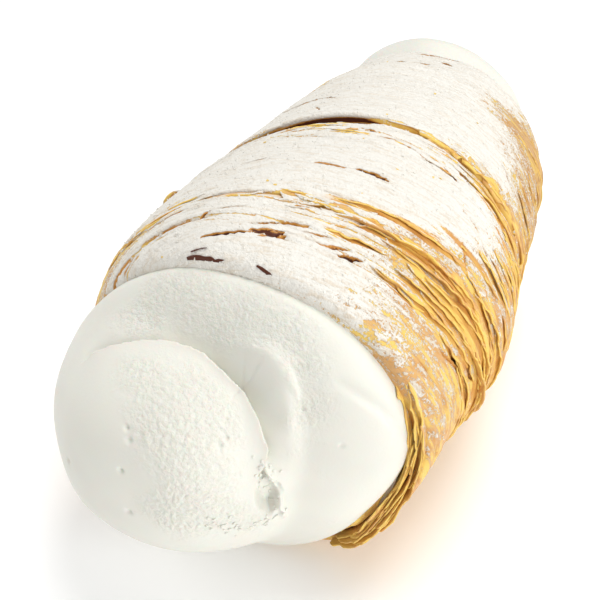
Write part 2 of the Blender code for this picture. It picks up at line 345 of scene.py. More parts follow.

# ---- The sifted sugar ----
SEAM_WEAR = 0.5                   # beside the seams the sugar is this much thinner, down the sides
WORN_LEFT = (math.radians(12), math.radians(40))
WORN_RIGHT = (math.radians(14), math.radians(50))

# Scattered lumps: smallest and largest size, and how flat they are
SUGAR_LUMPS = (0.14 * MM, 0.3 * MM, 0.9)
PASTRY_LUMPS = (0.2 * MM, 0.6 * MM, 0.3)
FOAM_LUMPS = (0.2 * MM, 0.65 * MM, 0.5)
LUMP_UNEVEN = (0.75, 1.25)
LUMP_PROUD = 0.3                  # how far a lump's middle stands off, as a share of its size

# ---- The foam ----
GAP = 0.3 * MM
NEAR_COLLAR = ((0.0, 0.0, 0.0), 25.8, 9.5, 2.2)
NEAR_RING = ((-8.0, 0.0, -3.5), 21.5, 20.2, 2.05)
NEAR_TIP = ((-6.9, -1.4, -0.5), 17.0, 20.5, 2.6)
FAR_COLLAR = ((0.0, 0.0, 0.0), 21.8, 9.0, 2.2)
FAR_TIP = ((-1.6, 0.0, 3.8), 21.5, 18.0, 2.2)
LOBE_BLEND = 16.0
NEAR_FOAM_SIDES = 470
NEAR_FOAM_ROWS = 196
FAR_FOAM_SIDES = 220
FAR_FOAM_ROWS = 80
NECK_LENGTH = 8.0 * MM
SEAT = 0.06 * MM                  # the foam all but touches the rims
PINCH = 2.4 * MM                  # the rim's loose layers press the near foam in here
PINCH_ANGLE = math.radians(120)
PINCH_SPREAD = math.radians(32)
NECK_DEPTH = 0.9 * MM             # the near foam draws in under the rim where that juts out
FAR_BRIM_DEPTH = 2.3 * MM         # and the far foam by this much, on its upper side
LIP_FADE = 1.3 * MM               # the lip and the fold by the crest fade over these distances
FOLD_FADE = 1.6 * MM
RIDGE_INNER = 3.6 * MM
RIDGE_OUTER = 2.2 * MM
RIDGE_CRISP = 2.6 * MM
GROOVE_DEPTH = 0.4 * MM
GROOVE_WIDTH = 0.8 * MM
HOLLOW_DEPTH = 1.7 * MM
FLAKE_HEIGHT = 0.9 * MM
FLAKE_WIDTH = 0.4 * MM
PORE_DEPTH = 0.4 * MM
CRUMB_SPREAD = 1.6 * MM
FOAM_GRAIN_SIZE = 0.52 * MM
FOAM_SOFT_HEIGHT = 0.3 * MM       # soft swells all over the foam

# Paths over the near foam, in degrees round the roll's axis from the top and degrees out from it
CREST_PATH = (
    (-59, 60), (-51, 61), (-41, 62), (-32, 63), (-19, 64), (-4, 62), (8, 58), (23, 54), (38, 49),
    (58, 43), (69, 37), (87, 30),
)
RIDGE_PATH = (
    (-3, 63), (4, 65), (14, 67.5), (22, 68.5), (28, 67.5), (33.5, 65), (39, 62), (54, 54.5),
    (85, 47.5), (113, 51),
)
SIDE_GROOVE_PATH = ((49, 77), (56, 79), (64, 82), (72, 85), (75, 86))
HOLLOW_PATH = ((72, 36.5), (84, 36), (97, 37.5), (112, 40), (128, 45))
FLAKE_PATH = ((67, 38), (82, 39), (100, 42.5), (117, 48), (133, 57))
CRUMB_PATH = ((67, 38), (87, 38), (109, 41), (126, 48), (134, 44), (138, 36), (134, 25), (131, 17))
# Spots of the near foam: where its surface is grainy, and its small pores
GRAINY_SPOTS = (
    (-28, 50, 3.6), (-1, 44, 4.4), (-14, 33, 5.0), (20, 18, 6.0), (125, 8, 5.0), (110, 22, 4.0),
    (20, 40, 4.0), (-25, 77, 4.0), (-8, 77, 5.0), (8, 77, 5.5), (24, 78, 5.0), (-36, 72, 3.0),
    (52, 66, 3.6), (128, 38, 3.0), (38, 76, 4.0),
)
PORES = (
    (-35, 32, 0.35), (-36, 28, 0.45), (-59, 21, 0.4), (-114, 18, 0.5), (30, 34, 0.35),
    (29, 30, 0.4), (-91, 42, 0.5), (49, 65, 0.35), (73, 70, 0.35),
)

# ---- Finish and stage ----
STRIP_PAINTED_GLOW = 0.03                 # painted glow: emission that stands in for light coming through bare pastry
LEAF_PAINTED_GLOW = 0.15
FOAM_SOFTNESS = 0.2
FOAM_SPREAD = 1.5 * MM            # how far light spreads inside the foam
WHITE = (1.0, 1.0, 1.0, 1.0)
FLOOR_COLOUR = (0.96, 0.96, 0.96, 1.0)
FLOOR_SIZE = 4.0
SKY_LIGHT = 0.44
# Lights: name, place and width in metres, and power in watts
LIGHTS = (
    ("key", (0.10, 0.10, 0.65), 0.36, 2.4),
    ("right", (0.55, -0.24, 0.22), 0.4, 2.1),
    ("left", (-0.60, -0.10, 0.34), 0.4, 1.3),
)
LIGHT_AIM = (0, 0, 0.02)
CAMERA_PLACE = (50.2 * MM, -135.3 * MM, 122.8 * MM)
CAMERA_RANGE = (0.01, 20.0)
SENSOR_WIDTH = 36.0


# ================================================================ settings

def colour_setting(name, description, default):
    return FloatVectorProperty(
        name=name, description=description, default=default, subtype="COLOR", size=3, min=0, max=1)


def length_setting(name, description, default):
    return FloatProperty(
        name=name, description=description, default=default, min=0.0, unit="LENGTH", precision=5)


class PastrySettings(bpy.types.PropertyGroup):
    """Sizes and colours of the pastry"""

    leaf_relief: FloatProperty(
        name="Leaf relief", description="How strongly the thin leaves stand out",
        default=1.0, min=0.0, soft_max=2.0, subtype="FACTOR",
    )
    slit_depth: FloatProperty(
        name="Slit depth", description="How deep the slits between leaves are cut",
        default=1.0, min=0.0, soft_max=2.0, subtype="FACTOR",
    )
    sugar_depth: length_setting(
        "Sugar depth", "Thickness of the sifted sugar where it lies fully", 0.22 * MM)
    grain_count: IntProperty(
        name="Sugar grains", description="How many loose grains of sugar lie on the pastry",
        default=1400, min=1,
    )
    crumb_count: IntProperty(
        name="Crumbs", description="How many crumbs lie on the pastry", default=40, min=1,
    )
    golden: colour_setting(
        "Golden leaf", "Colour of a bare flaky leaf", (0.78, 0.55, 0.14))
    toasted: colour_setting(
        "Toasted skin", "Colour of the smooth browned skin", (0.62, 0.355, 0.15))
    # Caramel colours the fine streaks along the strip, and is painted shade inside shallow creases
    caramel_and_shade: colour_setting(
        "Caramel crease", "Colour inside a shallow crease", (0.58, 0.26, 0.05))
    # Painted shade: the near-black colour in the depth of slits and gaps
    crevice: colour_setting(
        "Deep crevice", "Colour in the depth of a slit", (0.09, 0.025, 0.012))
    browned: colour_setting(
        "Browned side", "Colour of the most browned skin, on the far right", (0.42, 0.225, 0.085))
    sugar: colour_setting(
        "Icing sugar", "Colour of the sifted sugar", (0.80, 0.775, 0.715))
    thin_sugar: colour_setting(
        "Thin sugar", "Colour of the sugar where the pastry shows through", (0.66, 0.56, 0.43))


class FoamSettings(bpy.types.PropertyGroup):
    """Sizes and colours of the foam"""

    crumb_count: IntProperty(
        name="Foam crumbs", description="How many soft crumbs lie by the foam's hollow",
        default=110, min=1,
    )
    foam: colour_setting(
        "Foam", "Colour of the foam", (0.75, 0.74, 0.67))
    # Painted shade in the hollows between the foam's grains
    grain_shade: colour_setting(
        "Speckle", "Colour of the hollows between the grains", (0.66, 0.655, 0.57))
    fold_depth: length_setting(
        "Fold depth", "Depth of the groove behind the tip of the swirl", 2.1 * MM)
    lip_height: length_setting(
        "Lip height", "Height of the thin lip along the tip's edge", 0.5 * MM)
    ridge_height: length_setting(
        "Ridge height", "Height of the smooth ridge beside the tip", 1.9 * MM)
    grain_height: length_setting(
        "Grain height", "Height of the grain on the sugared parts", 0.11 * MM)


class StageSettings(bpy.types.PropertyGroup):
    """Camera, light and floor"""

    azimuth: FloatProperty(
        name="Camera azimuth", description="Turn of the camera round the roll",
        default=math.radians(24.2), subtype="ANGLE",
    )
    elevation: FloatProperty(
        name="Camera elevation", description="Height of the camera as an angle",
        default=math.radians(35.7), subtype="ANGLE",
    )
    lens: FloatProperty(
        name="Lens", description="Focal length in millimetres", default=57.0, min=1.0,
    )
    seed: IntProperty(name="Seed", description="Seed of the scattered grains", default=7, min=0)


# ================================================================ shader helpers

class Value:
    """A shader socket that takes part in sums, with its recipe's nodes added behind it."""

    def __init__(self, recipe, socket):
        self.recipe = recipe
        self.socket = socket

    def maths(self, operation, *others):
        return self.recipe.maths(operation, self, *others)

    def __add__(self, other):
        return self.maths("ADD", other)

    __radd__ = __add__

    def __mul__(self, other):
        return self.maths("MULTIPLY", other)

    __rmul__ = __mul__

    def __sub__(self, other):
        return self.maths("SUBTRACT", other)

    def __rsub__(self, other):
        return self.recipe.maths("SUBTRACT", other, self)


class Recipe:
    """A material, and the nodes of its shader."""

    def __init__(self, name):
        self.material = bpy.data.materials.new(name)
        self.material.use_nodes = True
        self.tree = self.material.node_tree
        self.shader = self.tree.nodes["Principled BSDF"]

    def feed(self, socket, value):
        if isinstance(value, Value):
            self.tree.links.new(value.socket, socket)
        else:
            socket.default_value = value

    def node(self, kind, settings=None, inputs=None, output=0):
        made = self.tree.nodes.new(kind)
        for name, value in (settings or {}).items():
            setattr(made, name, value)
        for key, value in (inputs or {}).items():
            self.feed(made.inputs[key], value)
        return Value(self, made.outputs[output])

    def maths(self, operation, *values):
        return self.node("ShaderNodeMath", {"operation": operation}, dict(enumerate(values)))

    def attribute(self, name):
        return self.node("ShaderNodeAttribute", {"attribute_name": name}, output="Fac")

    def place(self):
        return self.node("ShaderNodeTexCoord", output="Object")

    def part(self, vector, axis):
        """One part of a vector; X, Y and Z are its outputs."""
        return self.node("ShaderNodeSeparateXYZ", inputs={"Vector": vector}, output=axis)

    def vector(self, x, y, z=0.0):
        return self.node("ShaderNodeCombineXYZ", inputs={"X": x, "Y": y, "Z": z})

    def noise(self, vector, scale, detail=3.0, roughness=0.55):
        inputs = {"Vector": vector, "Scale": scale, "Detail": detail, "Roughness": roughness}
        return self.node("ShaderNodeTexNoise", inputs=inputs)

    def ramp(self, value, low, high):
        """0 below low, 1 above high, and smooth between."""
        inputs = {"Value": value, "From Min": low, "From Max": high}
        settings = {"interpolation_type": "SMOOTHSTEP", "clamp": True}
        return self.node("ShaderNodeMapRange", settings, inputs)

    def blend(self, share, first, second):
        colours = [c if isinstance(c, Value) else (*c, 1.0) for c in (first, second)]
        inputs = {0: share, 6: colours[0], 7: colours[1]}
        return self.node("ShaderNodeMix", {"data_type": "RGBA"}, inputs, output=2)

    def bump(self, height, strength, distance):
        inputs = {"Height": height, "Strength": strength, "Distance": distance}
        return self.node("ShaderNodeBump", inputs=inputs)

    def finish(self, varied, constant):
        """Feed the shader: varied holds values and links, constant plain numbers."""
        for name, value in {**varied, **constant}.items():
            self.feed(self.shader.inputs[name], value)
        return self.material


# ================================================================ number helpers

class Seed(IntEnum):
    """Seeds of the noise, one for each form that it shapes."""

    EDGE_REACH = 3
    SLIT_WAVE = 31
    SLIT_RAGGED = 37
    RIB = 41
    LUMP = 43
    BARE_EDGE = 47
    SUGAR_GRAIN = 51
    SUGAR_STREAK = 53
    FOAM_WOBBLE = 61
    FOAM_RAGGED = 63
    FOAM_GRAIN = 67
    FOAM_SOFT = 69
    FAR_FOAM_SOFT = 71
    FAR_FOAM_GRAIN = 73
    FOAM_GRAINY = 75
    LEAF_WAVE = 81
    LEAF_RAGGED = 83
    LEAF_STAND = 85
    LEAF_RIPPLE = 87
    LEAF_GOLDEN = 89
    RIM_RAGGED = 91
    RIM_WAVE = 93
    GAP_RAGGED = 97


HASH_STEPS = (73856093, 19349663, 83492791, 49979693)
HASH_MIX = 1274126177
HASH_MASK = 0xFFFF


def cell_value(cells, seed):
    """A fixed value from 0 to 1 for each cell of a grid."""
    mixed = sum(part * step for part, step in zip((*cells, np.int64(seed)), HASH_STEPS))
    mixed = (mixed ^ (mixed >> 13)) * HASH_MIX
    mixed = (mixed ^ (mixed >> 16)) * HASH_MIX
    return ((mixed >> 7) & HASH_MASK) / HASH_MASK


def ease(share):
    return share * share * (3 - 2 * share)


def noise(x, y, z, seed):
    """Smooth noise from -1 to 1 with a grain of about one unit."""
    x, y, z = np.broadcast_arrays(x, y, z)
    whole = [np.floor(part).astype(np.int64) for part in (x, y, z)]
    share = [ease(part - cell) for part, cell in zip((x, y, z), whole)]
    total = 0.0
    for corner in range(8):
        steps = [(corner >> axis) & 1 for axis in range(3)]
        weight = 1.0
        for part, step in zip(share, steps):
            weight = weight * (part if step else 1 - part)
        cells = [cell + step for cell, step in zip(whole, steps)]
        total = total + weight * cell_value(cells, seed)
    return total * 2 - 1


def rough_noise(x, y, z, seed, octaves=3):
    total, size, grain = 0.0, 1.0, 1.0
    for octave in range(octaves):
        total = total + size * noise(x * grain, y * grain, z * grain, seed + octave)
        size, grain = size * 0.5, grain * 2.03
    return total


def noise_at(spots, size, seed):
    """Smooth noise at spots in space, with a grain of the given size."""
    return noise(*(spots.T / size), seed)


def rough_noise_at(spots, size, seed, octaves=3):
    return rough_noise(*(spots.T / size), seed, octaves)


def bell(value, spread):
    return np.exp(-(value / spread) ** 2)


def rise(value, low, high):
    """0 below low, 1 above high, and smooth between."""
    return ease(np.clip((value - low) / (high - low), 0, 1))


def turn_between(angle, other):
    return (angle - other + math.pi) % FULL_TURN - math.pi


def read_points(mesh):
    points = np.empty(len(mesh.vertices) * 3)
    mesh.vertices.foreach_get("co", points)
    return points.reshape(-1, 3)


def write_points(mesh, points):
    mesh.vertices.foreach_set("co", points.ravel())
    mesh.update()


def read_normals(mesh):
    normals = np.empty(len(mesh.vertices) * 3)
    mesh.vertices.foreach_get("normal", normals)
    return normals.reshape(-1, 3)


def write_attributes(mesh, **attributes):
    for name, values in attributes.items():
        layer = mesh.attributes.get(name) or mesh.attributes.new(name, "FLOAT", "POINT")
        layer.data.foreach_set("value", np.ascontiguousarray(values, dtype=np.float32))


def read_attribute(mesh, name):
    values = np.empty(len(mesh.vertices), dtype=np.float32)
    mesh.attributes[name].data.foreach_get("value", values)
    return values.astype(float)


def to_mesh(name, bm):
    mesh = bpy.data.meshes.new(name)
    bm.to_mesh(mesh)
    bm.free()
    mesh.shade_smooth()
    return mesh


def place_piece(name, mesh, material, node=None):
    """Make the mesh a piece of the pastry that rides on the frame."""
    mesh.materials.clear()
    mesh.materials.append(material)
    piece = bpy.data.objects.new(name, mesh)
    bpy.context.scene.collection.objects.link(piece)
    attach(piece, "root")
    if node is not None:
        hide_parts(node)


# ================================================================ the wound wall

def mean_radius(y):
    share = y / HALF_LENGTH
    tilt = (FAR_RADIUS - NEAR_RADIUS) / 2
    belly = (FAR_RADIUS + NEAR_RADIUS) / 2 - MID_RADIUS
    return MID_RADIUS + tilt * share + belly * share ** 2


def bore_radius(y):
    share = y / (2 * HALF_LENGTH) + 0.5
    return NEAR_BORE + (FAR_BORE - NEAR_BORE) * share


def seam_place(along):
    """Place along the roll of the standing edge, at an angle along the winding."""
    turn = along - WANDER_ANGLE
    stray = SEAM_WANDER * np.sin(turn) - SEAM_WAVE * np.sin(2 * turn)
    return SEAM_START + STRIP_PITCH * along / FULL_TURN + stray


def open_rim(angle, side):
    """How open the near rim is at an angle: its layers have come apart on the right."""
    angle = np.mod(angle, FULL_TURN)
    return rise(angle, *OPEN_RIM[:2]) * (1 - rise(angle, *OPEN_RIM[2:])) * (side < 0)


def jut_share(angle, side):
    """How far the near rim stands forward at an angle, from 0 to 1."""
    return bell(turn_between(angle, JUT_ANGLE), JUT_SPREAD) * (side < 0)


def rim_place(angle, side):
    """How far from the middle of the roll the rim stands at an angle."""
    return HALF_LENGTH - OPEN_DEPTH * open_rim(angle, side) + JUT * jut_share(angle, side)


def wall_shape(angle, y):
    """Radius of the wall without its strip, with rims, waist and lip."""
    inside = rim_place(angle, y) - np.abs(y)
    sugared = bell(turn_between(angle, SUGARED_RIM), SUGARED_SPREAD) * (y < 0)
    share = np.clip(1 - inside / (RIM_ROUND + SUGARED_ROUND * sugared), 0, 1)
    rim = (RIM_DROP + SUGARED_DROP * sugared) * (1 - np.sqrt(1 - share ** 2))
    lip = LIP_REACH * bell(turn_between(angle, LIP_ANGLE), LIP_SPREAD)
    lip = lip * bell(y + HALF_LENGTH, LIP_LENGTH)
    slack = WAIST_DEPTH * bell(turn_between(angle, BROWNED_SIDE), BROWNED_SPREAD)
    slack = slack * bell(y - WAIST_PLACE, WAIST_LENGTH)
    sag = SAG * np.sin(3 * angle + y / SAG_LENGTH)
    return mean_radius(y) + sag - rim + lip - slack


def edge_look(along):
    """How far the edge is bare and hangs over, its foot's painted shade, and how far it is met."""
    places = [turn * FULL_TURN + math.radians(angle) for turn, angle, *_ in EDGE_LOOKS]
    bare, reach, foot, met = (
        np.interp(along, places, [look[part] for look in EDGE_LOOKS]) for part in (2, 3, 4, 5))
    return bare * MM, reach * MM, foot, met


def strip_height(along, across):
    """Height of the strip over the wall, from its standing near edge to its tucked far edge."""
    share = np.clip(across / STRIP_PITCH, 0, 1.05)
    turns = along / FULL_TURN
    proud = PROUD_STEP * bell(turns - PROUD_TURN, PROUD_SPREAD) * rise(across, 0, PROUD_RAMP)
    step = STEP * (1 - 0.6 * rise(turns, 0.6, 0.9))
    lap = LAP_RISE * bell(turns - PROUD_TURN + 1, PROUD_SPREAD) * rise(share, 0.6, 1)
    met = STEP * edge_look(along + FULL_TURN)[3] * rise(share, 0.72, 1)
    return (1 - share ** BELLY_POWER) * (step + proud) - TUCK * STEP + lap + met


def edge_fold(along, across):
    """Shift along the roll and drop of the standing edge, which rolls over a crevice."""
    reach = edge_look(along)[1] * (1 + 0.3 * noise(along * 4.3, 0, 0, Seed.EDGE_REACH))
    last = 1 - 0.8 * rise(along / FULL_TURN, 0.6, 0.9)
    drop = EDGE_DROP * (1 - rise(across, 0, EDGE_WIDTH)) ** 1.5
    shift = FOOT_SET * (1 - rise(across, 0, EDGE_WIDTH))
    return shift * last - reach * bell(across - NOSE_PLACE, NOSE_WIDTH), drop * last


def leaf_zone(along, across):
    """How flaky the strip is: smooth in its middle, leafy beside the seams and on the bare side."""
    angle = turn_between(along, 0)
    quiet = rise(seam_place(along) + across, 12 * MM, 20 * MM) * (1 - rise(angle, 0.9, 1.3))
    near_edge = 1 - rise(across, 2 * MM, 7 * MM)
    far_edge = rise(across, 16 * MM, 21 * MM)
    bare_side = rise(angle, 0.7, 1.3)
    edge_side = 0.25 + 0.75 * rise(angle, 0.0, 0.7)
    zone = 0.16 + far_edge * 0.9 + near_edge * edge_side * 0.7 + 0.75 * bare_side
    return np.clip(zone, 0, 1.3) * (1 - 0.85 * quiet)


def leaf_edges(along, across, leaf_set):
    """Leaves that end one behind the other: their height, the slits and the bare fronts."""
    width, drift, relief, depth, seed = leaf_set
    run = along * MID_RADIUS
    place = across / width + drift * noise(run / (24 * MM), across / (9 * MM), 0, seed)
    leaf = np.floor(place)
    share = place - leaf
    strength = np.clip(0.25 + 1.5 * noise(run / LEAF_RUN, leaf * 3.7, 0, seed + 1), 0, 1)
    following = np.clip(0.25 + 1.5 * noise(run / LEAF_RUN, (leaf + 1) * 3.7, 0, seed + 1), 0, 1)
    front = rise(share * width, 0, 0.2 * MM)
    height = relief * strength * front * (1 - share) ** 1.3
    open_slit = rise(noise(run / (0.55 * LEAF_RUN), (leaf + 1) * 5.3, 0, seed + 2), 0.05, 0.5)
    slit = depth * following * open_slit * bell((1 - share) * width, 0.28 * MM)
    return height, slit, strength * (1 - rise(share * width, 0.12 * MM, 0.35 * MM))


def cut_slits(along, across, turn):
    """Depth of the larger slits at each point of a turn, and how dark their painted shade is."""
    degrees = np.degrees(along - turn * FULL_TURN)
    run = along * MID_RADIUS
    depth = np.zeros_like(across)
    dark = np.zeros_like(across)
    for start, end, first, last, width, deep, tone in SLITS[turn]:
        share = np.clip((degrees - start) / (end - start), 0, 1)
        wave = 0.35 * MM * noise(run / (3.2 * MM), first * 7.0, 0, Seed.SLIT_WAVE)
        centre = (first + (last - first) * share) * MM + wave
        ragged = 1 + 0.3 * noise(run / (3.6 * MM), first * 3.0, 0, Seed.SLIT_RAGGED)
        half = SLIT_SPREAD * width * MM * np.sin(math.pi * share) ** 0.6 * ragged
        inside = np.where((share > 0) & (share < 1), half - np.abs(across - centre), -1)
        depth = np.maximum(depth, rise(inside, -0.15 * MM, 0.3 * MM) * deep * 0.7 * MM)
        dark = np.maximum(dark, rise(inside, -0.18 * MM, 0.06 * MM) * tone)
    return depth, dark


def fold_rims(angle, y, radius):
    """Turn what runs past either end of the roll in over the rim, down to the bore."""
    ends = rim_place(angle, y)
    past = np.maximum(np.abs(y) - ends, 0)
    y = np.clip(y, -ends, ends)
    bore = bore_radius(y) + BORE_CLEAR
    return y, np.maximum(radius - past, bore), past


def end_last_turn(along, y, radius, past):
    """Let the last turn's folded end lie over the rim, and sink where the strip leaves it."""
    beyond = seam_place(along) - HALF_LENGTH
    sunk = np.maximum(radius - LAST_SINK * np.maximum(beyond, 0), bore_radius(y) + BORE_CLEAR)
    return y + LAST_PROUD * rise(past, 0, 0.2 * MM), sunk, 1 - rise(beyond, *LAST_FADE)


def round_points(angle, y, radius):
    """Points at an angle, a place along the roll and a distance from its axis."""
    points = np.stack((radius * np.sin(angle), y, radius * np.cos(angle) + AXIS_HEIGHT), axis=-1)
    points[:, 2] = np.maximum(points[:, 2], 0.0)
    return points


def outward(points):
    """Unit directions from the roll's axis to the points."""
    out = (points - (0, 0, AXIS_HEIGHT)) * (1, 0, 1)
    return out / np.linalg.norm(out, axis=1)[:, None]


def wall_points(along, across, turn, settings, leaves=()):
    """Points of the outer wall, how dark each is painted with shade, and how bare of sugar."""
    run = along * MID_RADIUS
    shift, drop = edge_fold(along, across)
    y = seam_place(along) + across + shift
    zone = leaf_zone(along, across)
    height = strip_height(along, across) - drop
    slits, bare = np.zeros_like(across), np.zeros_like(across)
    for leaf_set in LEAF_SETS:
        rises, slit, front = leaf_edges(along, across, leaf_set)
        height = height + rises * zone * settings.leaf_relief
        slits = slits + slit * zone * settings.slit_depth
        bare = np.maximum(bare, front * np.minimum(zone, 1))
    large, tone = cut_slits(along, across, turn)
    bare_width, _, foot, _ = edge_look(along)
    next_bare, _, next_foot, _ = edge_look(along + FULL_TURN)
    gap = STRIP_PITCH + 0.2 * MM - across
    crevice = bell(gap - 0.4 * MM * next_foot, CREVICE_WIDTH * (0.7 + 0.8 * next_foot)) * next_foot
    rib = RIB_HEIGHT * rough_noise(run / RIB_RUN, across / RIB_WIDTH, 0, Seed.RIB, 2)
    lump = LUMP_HEIGHT * noise(run / LUMP_SIZE, across / LUMP_SIZE, 0, Seed.LUMP)
    calm = rise(across, 0.4 * MM, 2.0 * MM)
    cuts = np.maximum(slits, large * settings.slit_depth)
    height = height + (rib * (0.5 + zone) + lump) * calm - cuts - CREVICE_DEPTH * crevice
    y, radius, past = fold_rims(along, y, wall_shape(along, y) + height)
    if turn == LAST_TURN:
        y, radius, _ = end_last_turn(along, y, radius, past)
    # Painted shade in the slits: the small ones darker the deeper they are cut
    dark = np.maximum(0.5 * rise(slits, 0.1 * MM, 0.4 * MM), tone)
    # Painted shade on the edge's front, under its overhanging nose, and in the crevice before the
    # next turn's edge
    front = FRONT_WIDTH * (0.6 + 0.7 * foot)
    dark = np.maximum(dark, foot * (1 - rise(across, front * 0.7, front)))
    dark = np.maximum(dark, rise(crevice, 0.25, 0.7) * next_foot)
    ragged = 0.45 * MM * rough_noise(run / (2.2 * MM), 0, turn, Seed.BARE_EDGE)
    edge = FRONT_WIDTH + bare_width + ragged * rise(bare_width, 0.1 * MM, 0.8 * MM)
    bare = np.maximum(bare, (1 - rise(across, edge, edge + 0.4 * MM)) * (bare_width > -0.5 * MM))
    bare = np.maximum(bare, rise(-gap, -1.0 * MM, -0.5 * MM) * (next_bare > -0.5 * MM))
    # Painted shade, and no sugar, where a leaf shelters the wall
    sheltered = under_leaves(along, across, turn, leaves)
    dark = np.maximum(dark, PAINTED_SHELTER_SHADE * sheltered)
    bare = np.maximum(bare, sheltered)
    turned = rise(past, 0, 0.4 * MM)
    brown = bell(turn_between(along, BROWN_RIM), BROWN_RIM_SPREAD) * (y < 0)
    open_share = np.maximum(open_rim(along, y), brown)
    bare = np.maximum(bare * (1 - turned), turned * open_share)
    # Painted shade deepens as the strip turns in over the rim towards the bore, where the rim is
    # open or bare
    dark = np.maximum(dark * (1 - turned), rise(past, 0.2 * MM, 1.4 * MM) * open_share * 0.6)
    return round_points(along, y, radius), np.clip(dark, 0, 1), bare


def leaf_ends(leaf):
    """Angles along the winding of a leaf's two ends."""
    return tuple(math.radians(angle) + leaf.turn * FULL_TURN for angle in (leaf.start, leaf.end))


def leaf_line(leaf, number, share, run):
    """Place across the strip of a leaf's near edge, and how much of its width is left there."""
    taper = np.sin(math.pi * np.clip(share, 0.002, 0.998)) ** 0.45
    wave = LEAF_WAVE * noise(run / LEAF_WAVE_RUN, number * 9.1, 0, Seed.LEAF_WAVE)
    place = leaf.first + (leaf.last - leaf.first) * share + (1 - taper) * leaf.width * 0.6
    return place * MM + wave, taper


def under_leaves(along, across, turn, leaves):
    """How sheltered, and so painted in shade, each point of a turn lies just in front of and under a
    leaf's near edge.
    """
    sheltered = np.zeros_like(across)
    for number, leaf in enumerate(leaves):
        behind = turn - leaf.turn
        if behind not in (0, -1):
            continue
        start, end = leaf_ends(leaf)
        around = along - behind * FULL_TURN
        share = (around - start) / (end - start)
        here = (share > 0) & (share < 1)
        edge, taper = leaf_line(leaf, number, share[here], around[here] * MID_RADIUS)
        inside = across[here] + behind * STRIP_PITCH - edge
        shade = rise(inside, -0.5 * MM, -0.15 * MM) * (1 - rise(inside, 0.5 * MM, 1.2 * MM))
        sheltered[here] = np.maximum(sheltered[here], shade * taper * rise(leaf.lift, 0.1, 0.4))
    return sheltered


def strip_places():
    """Places across the strip, closer together at the standing edge."""
    full = STRIP_PITCH + UNDERLAP
    places = [0.0]
    while places[-1] < full - WALL_ROW:
        places.append(places[-1] + (EDGE_ROW if places[-1] < EDGE_ROWS_TO else WALL_ROW))
    return places + [full]


def grid_sheet(name, columns, rows):
    """A flat grid, with the column and row of each of its points."""
    bm = bmesh.new()
    bmesh.ops.create_grid(bm, x_segments=columns, y_segments=rows, size=0.5)
    mesh = to_mesh(name, bm)
    points = read_points(mesh)
    column = np.rint((points[:, 0] + 0.5) * columns).astype(int)
    row = np.rint((points[:, 1] + 0.5) * rows).astype(int)
    return mesh, column, row


def close_sheet(mesh):
    """Join the edges that meet, close the open ends and turn the faces outwards."""
    bm = bmesh.new()
    bm.from_mesh(mesh)
    bmesh.ops.remove_doubles(bm, verts=bm.verts, dist=0.0002 * MM)
    open_edges = [edge for edge in bm.edges if edge.is_boundary]
    bmesh.ops.holes_fill(bm, edges=open_edges, sides=0)
    bmesh.ops.recalc_face_normals(bm, faces=bm.faces)
    if bm.calc_volume(signed=True) < 0:
        bmesh.ops.reverse_faces(bm, faces=bm.faces)
    bm.to_mesh(mesh)
    bm.free()
    mesh.shade_smooth()


def sugar_cover(points, normals):
    """How fully sugar lies, from 0 to 1, by how far each spot faces up."""
    angle = np.arctan2(points[:, 0], points[:, 2] - AXIS_HEIGHT)
    ends = rise(-points[:, 1], 8 * MM, 30 * MM) + 0.6 * rise(points[:, 1], 4 * MM, 22 * MM)
    browned = 0.37 * ends * (points[:, 0] > 0)
    side = 0.6 * rise(np.cos(angle), 0.15 + browned, 0.95 + 0.6 * browned)
    side = side + 0.4 * rise(np.cos(angle), -0.55, -0.1)
    return side * rise(normals[:, 2], -0.45, 0.1)


def wind_turn(name, turn, settings, leaves):
    """A closed strip wound once round the roll, from underside to underside."""
    places = np.array(strip_places() + [STRIP_PITCH + UNDERLAP, 0.0, 0.0])
    last_outer = len(places) - 4
    mesh, column, row = grid_sheet(name, TURN_COLUMNS, len(places) - 1)
    share = column / TURN_COLUMNS - 0.5
    angle = (FULL_TURN - JOIN_GAP) * share - TOP_DENSITY * np.sin(FULL_TURN * share)
    along = angle + turn * FULL_TURN
    across = places[row]
    outside = (row <= last_outer) | (row == len(places) - 1)
    points, dark, bare = wall_points(along, across, turn, settings, leaves)
    y, bore, past = fold_rims(along, seam_place(along) + across, 0)
    if turn == LAST_TURN:
        y, bore, shown = end_last_turn(along, y, bore, past)
        y = y - LAST_UNDER * shown * (past > 0)
    inner = round_points(along, y, bore)
    points[~outside] = inner[~outside]
    write_points(mesh, points)
    write_attributes(
        mesh, run=along * MID_RADIUS, across=across, outside=outside, bare=bare,
        dark=np.where(outside, dark, 0.0))
    close_sheet(mesh)
    sift_sugar(mesh, settings)
    return mesh


def sift_sugar(mesh, settings):
    """Raise the surface where sugar lies, and note how fully it is covered."""
    points, normals = read_points(mesh), read_normals(mesh)
    run, across, dark, bare, outside = (
        read_attribute(mesh, name) for name in ("run", "across", "dark", "bare", "outside"))
    angle = turn_between(run / MID_RADIUS, 0)
    beside = 1 - rise(across, 1 * MM, 5 * MM) + rise(across, 22 * MM, 27 * MM)
    worn = SEAM_WEAR * beside * (rise(-angle, *WORN_LEFT) + rise(angle, *WORN_RIGHT))
    cover = sugar_cover(points, normals) * outside * (1 - worn)
    grain = rough_noise_at(points, GRAIN_SIZE, Seed.SUGAR_GRAIN, 2)
    streak = noise(run / (5 * MM), across / (0.8 * MM), 0, Seed.SUGAR_STREAK)
    thick = settings.sugar_depth * rise(cover + 0.25 * streak, 0.2, 0.75) * (1 + 0.35 * grain)
    thick = thick * outside * (1 - rise(dark, 0.1, 0.35)) * (1 - bare)
    points = points + normals * thick[:, None]
    points[:, 2] = np.maximum(points[:, 2], 0.0)
    write_points(mesh, points)
    write_attributes(mesh, cover=cover)


# ================================================================ loose leaves

